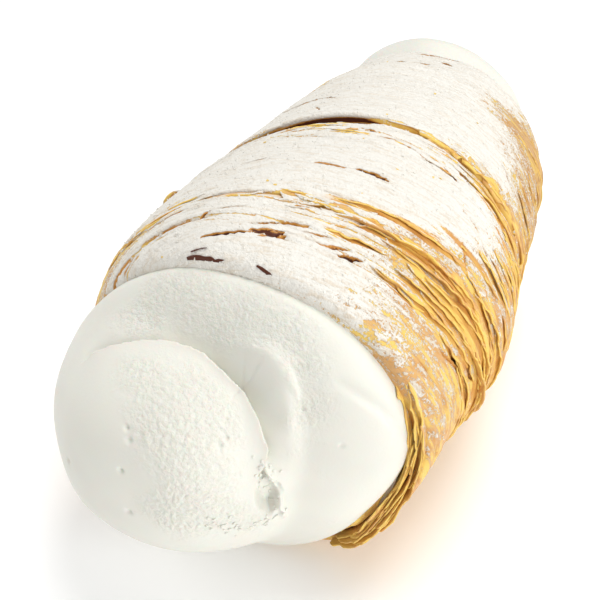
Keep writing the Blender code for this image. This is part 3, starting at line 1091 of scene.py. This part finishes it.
def ribbon(length, width):
    """A flat ribbon's mesh, with shares along it and across it."""
    columns = max(6, int(length / LEAF_COLUMN))
    rows = max(3, int(width / LEAF_ROW))
    mesh, column, row = grid_sheet("ribbon", columns, rows)
    return mesh, column / columns, row / rows


def leaf_on_wall(leaf, number):
    """One thin leaf: its near edge stands up from the strip and its far edge is sunk in it."""
    start, end = leaf_ends(leaf)
    mesh, share, inward = ribbon((end - start) * MID_RADIUS, leaf.width * MM)
    along = start + (end - start) * share
    run = along * MID_RADIUS
    edge, taper = leaf_line(leaf, number, share, run)
    ragged = 0.28 * MM * rough_noise(run / (1.4 * MM), number * 5.3, 0, Seed.LEAF_RAGGED)
    across = edge + ragged * (1 - inward) + inward * leaf.width * MM * taper
    before = across < 0
    home = np.where(before, along - FULL_TURN, along)
    place = np.where(before, across + STRIP_PITCH, across)
    y = seam_place(along) + across
    height = strip_height(home, place)
    uneven = 0.55 + 0.45 * noise(run / (7 * MM), number * 3.3, 0, Seed.LEAF_STAND)
    stand = (1 - inward) ** 1.4 * uneven
    stand = stand * leaf.lift * MM * taper - LEAF_SINK * inward ** 0.6
    roll = leaf.curl * MM * bell(inward, 0.35) * taper
    ripple = 0.12 * MM * noise(run / (1.8 * MM), inward * 2.0, number, Seed.LEAF_RIPPLE)
    radius = wall_shape(along, y) + height + stand + roll * 0.6 + ripple + 0.1 * MM
    write_points(mesh, round_points(along, y + roll * 0.8, radius))
    ragged = 0.4 * noise(run / (1.2 * MM), inward * 3, number, Seed.LEAF_GOLDEN)
    spread = inward * leaf.width + ragged
    bare = 1 - rise(spread, leaf.golden * 0.7, leaf.golden * 1.3)
    # Painted shade darkens the leaf towards its sunk far edge
    write_attributes(
        mesh, run=run, across=across + number * LEAF_SHIFT, bare=bare * taper,
        dark=PAINTED_LEAF_SHADE * rise(inward, 0.2, 0.9))
    return mesh


def leaf_at_rim(leaf, number):
    """One thin layer of the near rim, seen on edge: its outer edge juts out of the roll."""
    start, end, depth, width, jut, flare = leaf
    start, end = math.radians(start), math.radians(end)
    mesh, share, inward = ribbon((end - start) * MID_RADIUS, width * MM)
    angle = start + (end - start) * share
    run = angle * MID_RADIUS
    taper = np.sin(math.pi * np.clip(share, 0.002, 0.998)) ** 0.5
    ragged = 0.7 * MM * rough_noise(run / (2.4 * MM), number * 5.3, 0, Seed.RIM_RAGGED)
    y = -HALF_LENGTH + (inward * width - jut * taper) * MM + ragged * (1 - inward)
    wave = 0.35 * MM * noise(run / (5 * MM), number * 7.7, 0, Seed.RIM_WAVE)
    out = flare * MM * (1 - inward) ** (1.6 if flare > 0 else 3) * taper
    wall = np.maximum(wall_shape(angle, np.maximum(y, -HALF_LENGTH + RIM_ROUND)), NEAR_BORE)
    radius = wall - depth * MM + out + wave * (1 - 0.6 * inward)
    write_points(mesh, round_points(angle, y, radius))
    # Painted shade darkens the rim layer towards its inner edge
    write_attributes(
        mesh, run=run, across=y + number * LEAF_SHIFT, bare=1 - rise(inward, 0.05, 0.2),
        dark=PAINTED_LEAF_SHADE * rise(inward, 0.2, 0.9))
    return mesh


def shade_sheet_at_rim(gap, number, settings):
    """A dark gap by the sugared rim, as a thin sheet of painted shade that lies on the near turn."""
    start, end, first, last, width = gap
    mesh, column, row = grid_sheet("gap", GAP_COLUMNS, GAP_ROWS)
    share, inward = column / GAP_COLUMNS, row / GAP_ROWS
    along = np.radians(start + (end - start) * share) + NEAR_TURN * FULL_TURN
    run = along * MID_RADIUS
    ragged = 1 + 0.4 * noise(run / (0.8 * MM), inward * 3, number, Seed.GAP_RAGGED)
    taper = np.sin(math.pi * np.clip(share * 0.8 + 0.2, 0.002, 0.998)) ** 0.7
    across = first + (last - first) * share + (inward - 0.5) * width * taper * ragged
    points = wall_points(along, across * MM, NEAR_TURN, settings)[0]
    lift = outward(points) - (0, 0.5, 0)
    write_points(mesh, points + lift * GAP_LIFT)
    # Painted shade over the whole sheet
    write_attributes(
        mesh, run=run, across=across * MM, bare=np.zeros(len(run)), dark=np.ones(len(run)))
    return mesh


def join_leaves(name, meshes):
    """Give the leaves their thickness and join them into one mesh."""
    bm = bmesh.new()
    for mesh in meshes:
        points = read_points(mesh)
        points[:, 2] = np.maximum(points[:, 2], LEAF_THICKNESS)
        write_points(mesh, points)
        bm.from_mesh(mesh)
        bpy.data.meshes.remove(mesh)
    bmesh.ops.recalc_face_normals(bm, faces=bm.faces)
    bmesh.ops.solidify(bm, geom=bm.faces, thickness=LEAF_THICKNESS)
    bmesh.ops.recalc_face_normals(bm, faces=bm.faces)
    mesh = to_mesh(name, bm)
    points, normals = read_points(mesh), read_normals(mesh)
    facing = np.einsum("ij,ij->i", normals, outward(points))
    # Painted shade on the sides of the leaves that face the roll
    dark = read_attribute(mesh, "dark") + PAINTED_INNER_SHADE * rise(-facing, 0.0, 0.5)
    write_attributes(mesh, dark=dark, cover=sugar_cover(points, normals))
    return mesh


def random_leaves(zones, seed):
    """Leaves scattered over zones of the strip, the same each time."""
    random = np.random.default_rng(seed)
    leaves = []
    for turn, low, high, first, last, count, lift in zones:
        for _ in range(count):
            length = random.uniform(*SMALL_LENGTH)
            start = random.uniform(low, high - length / 2)
            place = random.uniform(first, last)
            slope = random.uniform(*SMALL_SLOPE)
            width = random.uniform(*SMALL_WIDTH)
            height = random.uniform(*SMALL_LIFT) * lift
            curl = random.uniform(*SMALL_CURL) * lift
            golden = random.uniform(*SMALL_GOLDEN) * lift
            ends = seam_place(np.radians((start, start + length)) + turn * FULL_TURN)
            if np.all(np.abs(ends + (place + slope + width / 2) * MM) < HALF_LENGTH - RIM_CLEAR):
                leaves.append(Leaf(
                    turn, start, start + length, place, place + slope, width, height, curl,
                    golden))
    return leaves


def all_leaves(seed):
    """The large leaves, and after them the small ones."""
    return [Leaf(*leaf) for leaf in LEAVES] + random_leaves(LEAF_ZONES, seed)


# ================================================================ scattered grains

def scatter_grains(name, sources, count, lumps, wanted, seed):
    """Small lumps on the surfaces of pieces, in one mesh. Wanted says where they may lie."""
    smallest, largest, flatness = lumps
    random = np.random.default_rng(seed)
    points = np.concatenate([read_points(mesh) for mesh in sources])
    normals = np.concatenate([read_normals(mesh) for mesh in sources])
    share = np.concatenate([wanted(mesh) for mesh in sources])
    chosen = random.choice(len(points), size=count, replace=False, p=share / share.sum())
    lump = bmesh.new()
    bmesh.ops.create_icosphere(lump, subdivisions=1, radius=0.5)
    grain = to_mesh("grain", lump)
    shape = read_points(grain)
    bm = bmesh.new()
    for index in chosen:
        size = random.uniform(smallest, largest)
        up = Vector(normals[index])
        turn = up.to_track_quat("Z", "Y").to_matrix()
        uneven = shape * random.uniform(*LUMP_UNEVEN, shape.shape) * size
        uneven[:, 2] *= flatness
        spin = random.uniform(0, FULL_TURN)
        x = uneven[:, 0] * math.cos(spin) - uneven[:, 1] * math.sin(spin)
        y = uneven[:, 0] * math.sin(spin) + uneven[:, 1] * math.cos(spin)
        placed = np.stack((x, y, uneven[:, 2]), axis=-1) @ np.array(turn).T
        placed = placed + points[index] + normals[index] * size * flatness * LUMP_PROUD
        placed[:, 2] = np.maximum(placed[:, 2], 0.0)
        write_points(grain, placed)
        bm.from_mesh(grain)
    bpy.data.meshes.remove(grain)
    mesh = to_mesh(name, bm)
    mesh.shade_flat()
    return mesh


def sugared_spots(mesh):
    """Where grains of sugar lie on the pastry: on the sugar, and more thinly beside it."""
    cover, dark, bare, outside = (
        read_attribute(mesh, name) for name in ("cover", "dark", "bare", "outside"))
    return (0.05 + rise(cover, 0.1, 0.9)) * (dark < 0.1) * (bare < 0.1) * outside * (cover > 0.02)


def crumb_spots(mesh):
    """Where crumbs lie: on the sugar near the seams, on the upper side."""
    cover, across, dark, outside = (
        read_attribute(mesh, name) for name in ("cover", "across", "dark", "outside"))
    near_seam = 0.15 + bell(across - 4 * MM, 3 * MM) + bell(across - 18 * MM, 4 * MM)
    return near_seam * rise(cover, 0.3, 0.7) * (dark < 0.1) * outside


def crumbly_spots(mesh):
    """Where soft crumbs of foam lie: in and below the near foam's hollow."""
    return read_attribute(mesh, "crumbly") ** 2


# ================================================================ materials

def pastry_material(name, settings, painted_glow):
    """Baked puff pastry under sifted sugar, with bare golden edges, and painted shade in its slits
    and creases.

    Painted glow is the strength of a golden emission where it has no sugar, in place of light
    through thin leaves.
    """
    recipe = Recipe(name)
    run = recipe.attribute("run")
    across = recipe.attribute("across")
    cover = recipe.attribute("cover")
    dark = recipe.attribute("dark")
    bare = recipe.attribute("bare")
    place = recipe.place()
    streak_place = recipe.vector(run * 220.0, across * 1500.0)
    streaks = recipe.noise(streak_place, 1.0, 4.0, 0.6)
    fine_place = recipe.vector(run * 700.0, across * 3200.0)
    fine = recipe.noise(fine_place, 1.0, 2.0, 0.6)
    patches = recipe.noise(recipe.vector(run * 90.0, across * 330.0), 1.0, 3.0, 0.6)
    specks = recipe.noise(place, 2600.0, 2.0, 0.7)
    toast = recipe.ramp(patches + (streaks - 0.5) * 0.8 - bare * 0.12, 0.34, 0.56)
    skin = recipe.blend(toast, tuple(settings.golden), tuple(settings.toasted))
    lines = recipe.ramp(streaks * 0.6 + fine * 0.4, 0.48, 0.62)
    skin = recipe.blend(lines * 0.6, skin, tuple(settings.caramel_and_shade))
    far_side = recipe.ramp(recipe.part(place, "Y"), -4 * MM, 24 * MM)
    far_side = far_side * recipe.ramp(recipe.part(place, "X"), 10 * MM, 24 * MM)
    skin = recipe.blend(far_side * (0.3 + lines * 0.6), skin, tuple(settings.browned))
    # Painted shade: the dark attribute turns the skin caramel in creases, and near black in the
    # deepest slits and gaps
    ragged = (fine - 0.5) * 0.5 + (specks - 0.5) * 0.4
    dark = dark + ragged * recipe.ramp(dark, 0.2, 0.6)
    skin = recipe.blend(recipe.ramp(dark, 0.05, 0.4), skin, tuple(settings.caramel_and_shade))
    skin = recipe.blend(recipe.ramp(dark, 0.35, 0.65), skin, tuple(settings.crevice))
    unsure = cover * (1 - cover) * 4
    clumps = recipe.noise(recipe.vector(run * 360.0, across * 1000.0), 1.0, 4.0, 0.7)
    scatter = (clumps - 0.5) * 1.4 + (streaks - 0.5) * 0.8 + (specks - 0.5) * 1.2
    lying = recipe.ramp(cover + scatter * unsure, 0.38, 0.56)
    shed = recipe.ramp(bare * (1.15 - cover * 0.58) + scatter * 0.45, 0.38, 0.54)
    slit = recipe.ramp(dark, 0.12, 0.3)
    sugared = lying * (1 - shed) * (1 - slit)
    thin = recipe.ramp(streaks * 0.5 + fine * 0.25 + specks * 0.25, 0.47, 0.61)
    thinness = thin * (1.25 - cover * 0.8)
    sugar = recipe.blend(thinness, tuple(settings.sugar), tuple(settings.thin_sugar))
    colour = recipe.blend(sugared, skin, sugar)
    roughness = sugared * 0.5 + 0.42
    height = specks * (sugared * 0.6 + 0.15) + streaks * 0.5 + fine * 0.35
    rough = recipe.bump(height, 0.8, 0.4 * MM)
    # Painted glow: golden emission where neither sugar nor a slit covers the pastry
    covered = recipe.maths("MAXIMUM", sugared, slit)
    through = recipe.blend(covered, tuple(settings.golden), (0.0, 0.0, 0.0))
    varied = {
        "Base Color": colour, "Roughness": roughness, "Normal": rough, "Emission Color": through,
    }
    constant = {"Specular IOR Level": 0.2, "Emission Strength": painted_glow}
    return recipe.finish(varied, constant)


def foam_material(name, settings, softness):
    """Whipped white foam, smooth or grainy with sugar. Light spreads inside it by its softness."""
    recipe = Recipe(name)
    place = recipe.place()
    grainy = recipe.attribute("grainy")
    clouds = recipe.noise(place, 60.0, 2.0)
    grain = recipe.noise(place, 2300.0, 2.0, 0.6)
    tone = tuple(settings.foam)
    shade = tuple(part * 0.94 for part in tone)
    colour = recipe.blend(recipe.ramp(clouds, 0.35, 0.7), tone, shade)
    # Painted shade between the grains, on the grainy parts of the foam
    grain_shade = recipe.ramp(grain, 0.40, 0.62) * grainy
    colour = recipe.blend(grain_shade * 0.5, colour, tuple(settings.grain_shade))
    height = grain * (grainy * 0.92 + 0.08)
    rough = recipe.bump(height, 0.6, 0.35 * MM)
    constant = {
        "Roughness": 0.62,
        "Specular IOR Level": 0.3,
        "Subsurface Weight": softness,
        "Subsurface Scale": FOAM_SPREAD,
    }
    return recipe.finish({"Base Color": colour, "Normal": rough}, constant)


def grain_material(name, colour, roughness):
    """A plain grain with a little variation from one to the next."""
    recipe = Recipe(name)
    shades = recipe.noise(recipe.place(), 900.0, 1.0)
    darker = tuple(part * 0.9 for part in colour)
    varied = {"Base Color": recipe.blend(recipe.ramp(shades, 0.4, 0.6), tuple(colour), darker)}
    return recipe.finish(varied, {"Roughness": roughness, "Specular IOR Level": 0.3})


def floor_material():
    """A plain pale floor."""
    recipe = Recipe("pale_floor")
    return recipe.finish({}, {
        "Base Color": FLOOR_COLOUR,
        "Roughness": 0.8,
        "Emission Color": WHITE,
        "Emission Strength": 0.1,
    })


# ================================================================ the foam

def lobe_reach(direction, lobe):
    """Distance from a rim's middle to a lobe's surface, along unit directions."""
    centre, radius, bulge, power = lobe
    centre = np.array(centre) * MM
    near = np.zeros(len(direction))
    far = np.full(len(direction), 2 * (radius + bulge) * MM)
    for _ in range(26):
        reach = (near + far) / 2
        spot = direction * reach[:, None] - centre
        out = np.hypot(spot[:, 0], spot[:, 2]) / (radius * MM)
        length = np.abs(spot[:, 1]) / (bulge * MM)
        inside = out ** power + length ** power < 1
        near = np.where(inside, reach, near)
        far = np.where(inside, far, reach)
    return near


def merge_reach(reaches):
    return sum((reach / MM) ** LOBE_BLEND for reach in reaches) ** (1 / LOBE_BLEND) * MM


def near_reach(direction):
    """Distance from the near rim's middle to the plain dome, before its folds."""
    under = merge_reach([lobe_reach(direction, lobe) for lobe in (NEAR_COLLAR, NEAR_RING)])
    return merge_reach([under, lobe_reach(direction, NEAR_TIP)])


def near_spots(places):
    """Spots on the plain near dome, from degrees round the roll's axis and out from it."""
    turn, tilt = np.radians(np.array(places, dtype=float)).T[:2]
    direction = np.stack((
        np.sin(tilt) * np.sin(turn), -np.cos(tilt), np.sin(tilt) * np.cos(turn)), axis=-1)
    return direction * near_reach(direction)[:, None]


def path_distance(spots, path):
    """Distance of each spot from a path, above nought on its right, and its share of the way."""
    knots = near_spots(path)
    best = np.full(len(spots), 1.0)
    share = np.zeros(len(spots))
    side = np.ones(len(spots))
    legs = len(knots) - 1
    for leg in range(legs):
        start, step = knots[leg], knots[leg + 1] - knots[leg]
        part = np.clip(((spots - start) @ step) / (step @ step), 0, 1)
        away = spots - start - part[:, None] * step
        length = np.linalg.norm(away, axis=1)
        closer = length < best
        turn = np.sign(np.einsum("ij,ij->i", np.cross(away, step), spots))
        best = np.where(closer, length, best)
        share = np.where(closer, (leg + part) / legs, share)
        side = np.where(closer, turn, side)
    return best * side, share


def swirl_tip(spots, wobble, settings):
    """Height of the swirl's tip along its crest, and distance of each spot from the crest."""
    crest, share = path_distance(spots, CREST_PATH)
    crest = crest + wobble
    ends = rise(share, 0, 0.12) * (1 - rise(share, 0.86, 1.0))
    lip = settings.lip_height * np.exp(-np.abs(crest) / LIP_FADE) * (crest > 0) * ends
    fold = settings.fold_depth * np.exp(-np.abs(crest) / FOLD_FADE) * (crest <= 0) * ends
    return lip - fold, crest


def smooth_ridge(spots, wobble, settings):
    """Height of the smooth ridge beside the tip, crisp for part of its way."""
    away, share = path_distance(spots, RIDGE_PATH)
    away = away + wobble
    crisp = np.sqrt(np.clip(1 - (away / RIDGE_CRISP) ** 2, 0, 1)) * bell(share - 0.56, 0.2)
    outer = np.maximum(crisp, bell(away, RIDGE_OUTER))
    swell = np.where(away > 0, bell(away, RIDGE_INNER), outer)
    return settings.ridge_height * swell * rise(share, 0, 0.4) * (1 - rise(share, 0.75, 1.0))


def foam_marks(spots):
    """Height of the flake less the depth of the side groove, the hollow and the pores."""
    away, share = path_distance(spots, SIDE_GROOVE_PATH)
    groove = GROOVE_DEPTH * bell(away, GROOVE_WIDTH) * np.sin(math.pi * (0.15 + 0.7 * share))
    away, share = path_distance(spots, HOLLOW_PATH)
    ragged = 0.35 * MM * rough_noise_at(spots, 1.1 * MM, Seed.FOAM_RAGGED, 2)
    half = (0.2 + 2.0 * np.sin(math.pi * share ** 1.3)) * MM
    hollow = HOLLOW_DEPTH * rise(half - np.abs(away) + ragged, -0.1 * MM, 1.2 * MM)
    away, share = path_distance(spots, FLAKE_PATH)
    flake = FLAKE_HEIGHT * bell(away + ragged * 0.6, FLAKE_WIDTH) * np.sin(math.pi * share) ** 0.5
    pores = sum_bells(spots, PORES) * PORE_DEPTH
    return flake - groove - hollow - pores


def sum_bells(spots, places):
    """Soft round marks at places, each with its own size in millimetres."""
    total = np.zeros(len(spots))
    for place, size in zip(near_spots(places), places):
        away = np.linalg.norm(spots - place, axis=1)
        total = total + bell(away, size[2] * MM)
    return total


def near_foam(direction, settings):
    """Points of the near dome from unit directions, and where it is grainy and crumbly."""
    reach = near_reach(direction)
    spots = direction * reach[:, None]
    wobble = 0.25 * MM * noise_at(spots, 3 * MM, Seed.FOAM_WOBBLE)
    tip, crest = swirl_tip(spots, wobble, settings)
    ridge = smooth_ridge(spots, wobble, settings)
    grainy = 0.5 * rough_noise_at(spots, 4 * MM, Seed.FOAM_GRAINY) + sum_bells(spots, GRAINY_SPOTS)
    grainy = rise(grainy, 0.15, 1.2) * rise(np.abs(crest), 0.5 * MM, 3.0 * MM)
    grain = rough_noise_at(spots, FOAM_GRAIN_SIZE, Seed.FOAM_GRAIN, 2)
    grain = settings.grain_height * grainy * grain
    soft = FOAM_SOFT_HEIGHT * noise_at(spots, 9 * MM, Seed.FOAM_SOFT)
    angle = np.arctan2(spots[:, 0], spots[:, 2])
    backward = 1 + spots[:, 1] / reach
    neck = NECK_DEPTH * jut_share(angle, -1) * rise(backward, 0.88, 0.98)
    pinch = PINCH * bell(turn_between(angle, PINCH_ANGLE), PINCH_SPREAD)
    brim = neck + pinch * rise(backward, 0.5, 0.95)
    reach = reach + tip + ridge + foam_marks(spots) + grain + soft - brim
    crumbly = bell(path_distance(spots, CRUMB_PATH)[0], CRUMB_SPREAD)
    return direction * reach[:, None], grainy, crumbly


def far_foam(direction, settings):
    """Points of the far dome from unit directions, and where it is grainy and crumbly."""
    reach = merge_reach([lobe_reach(direction, lobe) for lobe in (FAR_COLLAR, FAR_TIP)])
    spots = direction * reach[:, None]
    soft = FOAM_SOFT_HEIGHT * noise_at(spots, 7 * MM, Seed.FAR_FOAM_SOFT)
    top = rise(spots[:, 2] / reach, -0.3, 0.7)
    brim = FAR_BRIM_DEPTH * top * rise(1 - spots[:, 1] / reach, 0.7, 1.0) ** 2
    grainy = 0.3 * top
    grain = rough_noise_at(spots, 0.9 * MM, Seed.FAR_FOAM_GRAIN)
    grain = settings.grain_height * grainy * grain
    return direction * (reach + soft + grain - brim)[:, None], grainy, np.zeros(len(reach))


def foam_dome(name, side, rows, sides, neck, surface, settings):
    """A bulge of foam at one end, with a neck that reaches into the roll."""
    rim = HALF_LENGTH + SEAT
    mesh, column, row = grid_sheet(name, sides, rows + 3)
    turn = FULL_TURN * column / sides
    polar = math.pi / 2 * np.minimum(row, rows) / rows
    direction = np.stack((
        np.sin(polar) * np.sin(turn), side * np.cos(polar), np.sin(polar) * np.cos(turn),
    ), axis=-1)
    points, grainy, crumbly = surface(direction, settings)
    points = points + (0, side * rim, 0)
    for step, place, share in ((1, rim, 1), (2, rim - neck, 1), (3, rim - neck, 0)):
        radius = (bore_radius(side * place) - GAP) * share
        ring = np.stack((
            radius * np.sin(turn), np.full(len(turn), side * place), radius * np.cos(turn),
        ), axis=-1)
        points = np.where((row == rows + step)[:, None], ring, points)
    points[:, 2] += AXIS_HEIGHT
    write_points(mesh, points)
    write_attributes(mesh, grainy=grainy, crumbly=crumbly * (row < rows))
    close_sheet(mesh)
    return mesh


# ================================================================ operators

class PASTRY_OT_wind_strip(bpy.types.Operator):
    """Wind the pastry strip into four overlapping turns"""

    bl_idname = "pastry.wind_strip"
    bl_label = "Wind Strip"

    def execute(self, context):
        settings = context.scene.pastry_settings
        material = pastry_material("sugared_puff_pastry", settings, STRIP_PAINTED_GLOW)
        leaves = all_leaves(context.scene.stage_settings.seed)
        for turn, name in TURN_NAMES.items():
            mesh = wind_turn(name, turn, settings, leaves)
            place_piece(name, mesh, material, "pastry_shell")
        return {"FINISHED"}


class PASTRY_OT_lay_leaves(bpy.types.Operator):
    """Lay thin loose leaves along the seams and round the near rim"""

    bl_idname = "pastry.lay_leaves"
    bl_label = "Lay Leaves"

    def execute(self, context):
        settings = context.scene.pastry_settings
        material = pastry_material("thin_pastry_leaves", settings, LEAF_PAINTED_GLOW)
        seed = context.scene.stage_settings.seed
        leaves = [leaf_on_wall(leaf, number) for number, leaf in enumerate(all_leaves(seed))]
        large, small = leaves[:len(LEAVES)], leaves[len(LEAVES):]
        rim = [leaf_at_rim(leaf, number) for number, leaf in enumerate(RIM_LEAVES)]
        rim += [shade_sheet_at_rim(gap, number, settings) for number, gap in enumerate(RIM_SHADE_SHEETS)]
        for name, meshes in (("large_leaves", large), ("small_leaves", small), ("rim_leaves", rim)):
            mesh = join_leaves(name, meshes)
            place_piece(name, mesh, material, "pastry_shell")
        return {"FINISHED"}


class PASTRY_OT_scatter_grains(bpy.types.Operator):
    """Scatter sugar grains and pastry crumbs on the roll"""

    bl_idname = "pastry.scatter_grains"
    bl_label = "Scatter Grains"

    def execute(self, context):
        settings = context.scene.pastry_settings
        seed = context.scene.stage_settings.seed
        turns = [bpy.data.meshes[name] for name in TURN_NAMES.values()]
        sugar = grain_material("sugar_grain", settings.sugar, 0.5)
        crumb = grain_material("pastry_crumb", settings.golden, 0.6)
        grains = scatter_grains(
            "sugar_grains", turns, settings.grain_count, SUGAR_LUMPS, sugared_spots, seed)
        crumbs = scatter_grains(
            "pastry_crumbs", turns, settings.crumb_count, PASTRY_LUMPS, crumb_spots, seed + 1)
        place_piece("sugar_grains", grains, sugar)
        place_piece("pastry_crumbs", crumbs, crumb)
        return {"FINISHED"}


class PASTRY_OT_fill_foam(bpy.types.Operator):
    """Fill both ends with foam"""

    bl_idname = "pastry.fill_foam"
    bl_label = "Fill Foam"

    def execute(self, context):
        settings = context.scene.foam_settings
        material = foam_material("white_foam", settings, FOAM_SOFTNESS)
        crumb_material = foam_material("foam_crumb", settings, 0.0)
        near = foam_dome(
            "near_foam", -1, NEAR_FOAM_ROWS, NEAR_FOAM_SIDES, NECK_LENGTH, near_foam, settings)
        far = foam_dome(
            "far_foam", 1, FAR_FOAM_ROWS, FAR_FOAM_SIDES, 2 * HALF_LENGTH - NECK_LENGTH,
            far_foam, settings)
        for mesh in (near, far):
            place_piece(mesh.name, mesh, material, "foam_filling")
        crumbs = scatter_grains(
            "foam_crumbs", [near], settings.crumb_count, FOAM_LUMPS, crumbly_spots,
            context.scene.stage_settings.seed)
        place_piece("foam_crumbs", crumbs, crumb_material)
        return {"FINISHED"}


class PASTRY_OT_set_stage(bpy.types.Operator):
    """Set the floor, the soft lights and the camera"""

    bl_idname = "pastry.set_stage"
    bl_label = "Set Stage"

    def execute(self, context):
        scene = context.scene
        settings = scene.stage_settings
        bm = bmesh.new()
        bmesh.ops.create_grid(bm, x_segments=1, y_segments=1, size=FLOOR_SIZE)
        mesh = to_mesh("floor", bm)
        mesh.materials.append(floor_material())
        floor = bpy.data.objects.new("floor", mesh)
        scene.collection.objects.link(floor)
        world = bpy.data.worlds.new("studio")
        world.use_nodes = True
        sky = world.node_tree.nodes["Background"]
        sky.inputs["Color"].default_value = WHITE
        sky.inputs["Strength"].default_value = SKY_LIGHT
        scene.world = world
        for light in LIGHTS:
            add_light(*light)
        add_camera(scene, settings)
        scene.view_settings.view_transform = "Standard"
        return {"FINISHED"}


def add_light(name, place, size, power):
    """A soft round lamp that faces the pastry."""
    light = bpy.data.lights.new(name, "AREA")
    light.shape = "DISK"
    light.size = size
    light.energy = power
    lamp = bpy.data.objects.new(name, light)
    lamp.location = place
    aim = Vector(LIGHT_AIM) - Vector(place)
    lamp.rotation_euler = aim.to_track_quat("-Z", "Y").to_euler()
    bpy.context.scene.collection.objects.link(lamp)


def add_camera(scene, settings):
    """The camera, from the near end, above and a little to the right."""
    camera = bpy.data.cameras.new("camera")
    camera.lens = settings.lens
    camera.sensor_width = SENSOR_WIDTH
    camera.clip_start, camera.clip_end = CAMERA_RANGE
    eye = bpy.data.objects.new("camera", camera)
    eye.location = CAMERA_PLACE
    eye.rotation_euler = (math.pi / 2 - settings.elevation, 0, settings.azimuth)
    scene.collection.objects.link(eye)
    scene.camera = eye


# ================================================================ panel and main

class PASTRY_PT_sidebar(bpy.types.Panel):
    """Buttons and sizes of the cream horn pastry"""

    bl_idname = "PASTRY_PT_sidebar"
    bl_label = "Cream Horn Pastry"
    bl_space_type = "VIEW_3D"
    bl_region_type = "UI"
    bl_category = "Pastry"

    def draw(self, context):
        layout = self.layout
        for operator in OPERATORS:
            layout.operator(operator.bl_idname)
        for name in SETTINGS:
            box = layout.box()
            group = getattr(context.scene, name)
            for prop in group.bl_rna.properties:
                if not prop.is_readonly and prop.identifier != "name":
                    box.prop(group, prop.identifier)


OPERATORS = (
    PASTRY_OT_wind_strip, PASTRY_OT_lay_leaves, PASTRY_OT_scatter_grains, PASTRY_OT_fill_foam,
    PASTRY_OT_set_stage,
)
SETTINGS = {
    "pastry_settings": PastrySettings,
    "foam_settings": FoamSettings,
    "stage_settings": StageSettings,
}


def register():
    for kind in (*SETTINGS.values(), *OPERATORS, PASTRY_PT_sidebar):
        bpy.utils.register_class(kind)
    for name, kind in SETTINGS.items():
        setattr(bpy.types.Scene, name, bpy.props.PointerProperty(type=kind))


def unregister():
    for name in SETTINGS:
        delattr(bpy.types.Scene, name)
    for kind in reversed((*SETTINGS.values(), *OPERATORS, PASTRY_PT_sidebar)):
        bpy.utils.unregister_class(kind)


def main():
    register()
    bpy.ops.pastry.wind_strip()
    bpy.ops.pastry.lay_leaves()
    bpy.ops.pastry.scatter_grains()
    bpy.ops.pastry.fill_foam()
    bpy.ops.pastry.set_stage()


if __name__ == "__main__":
    main()
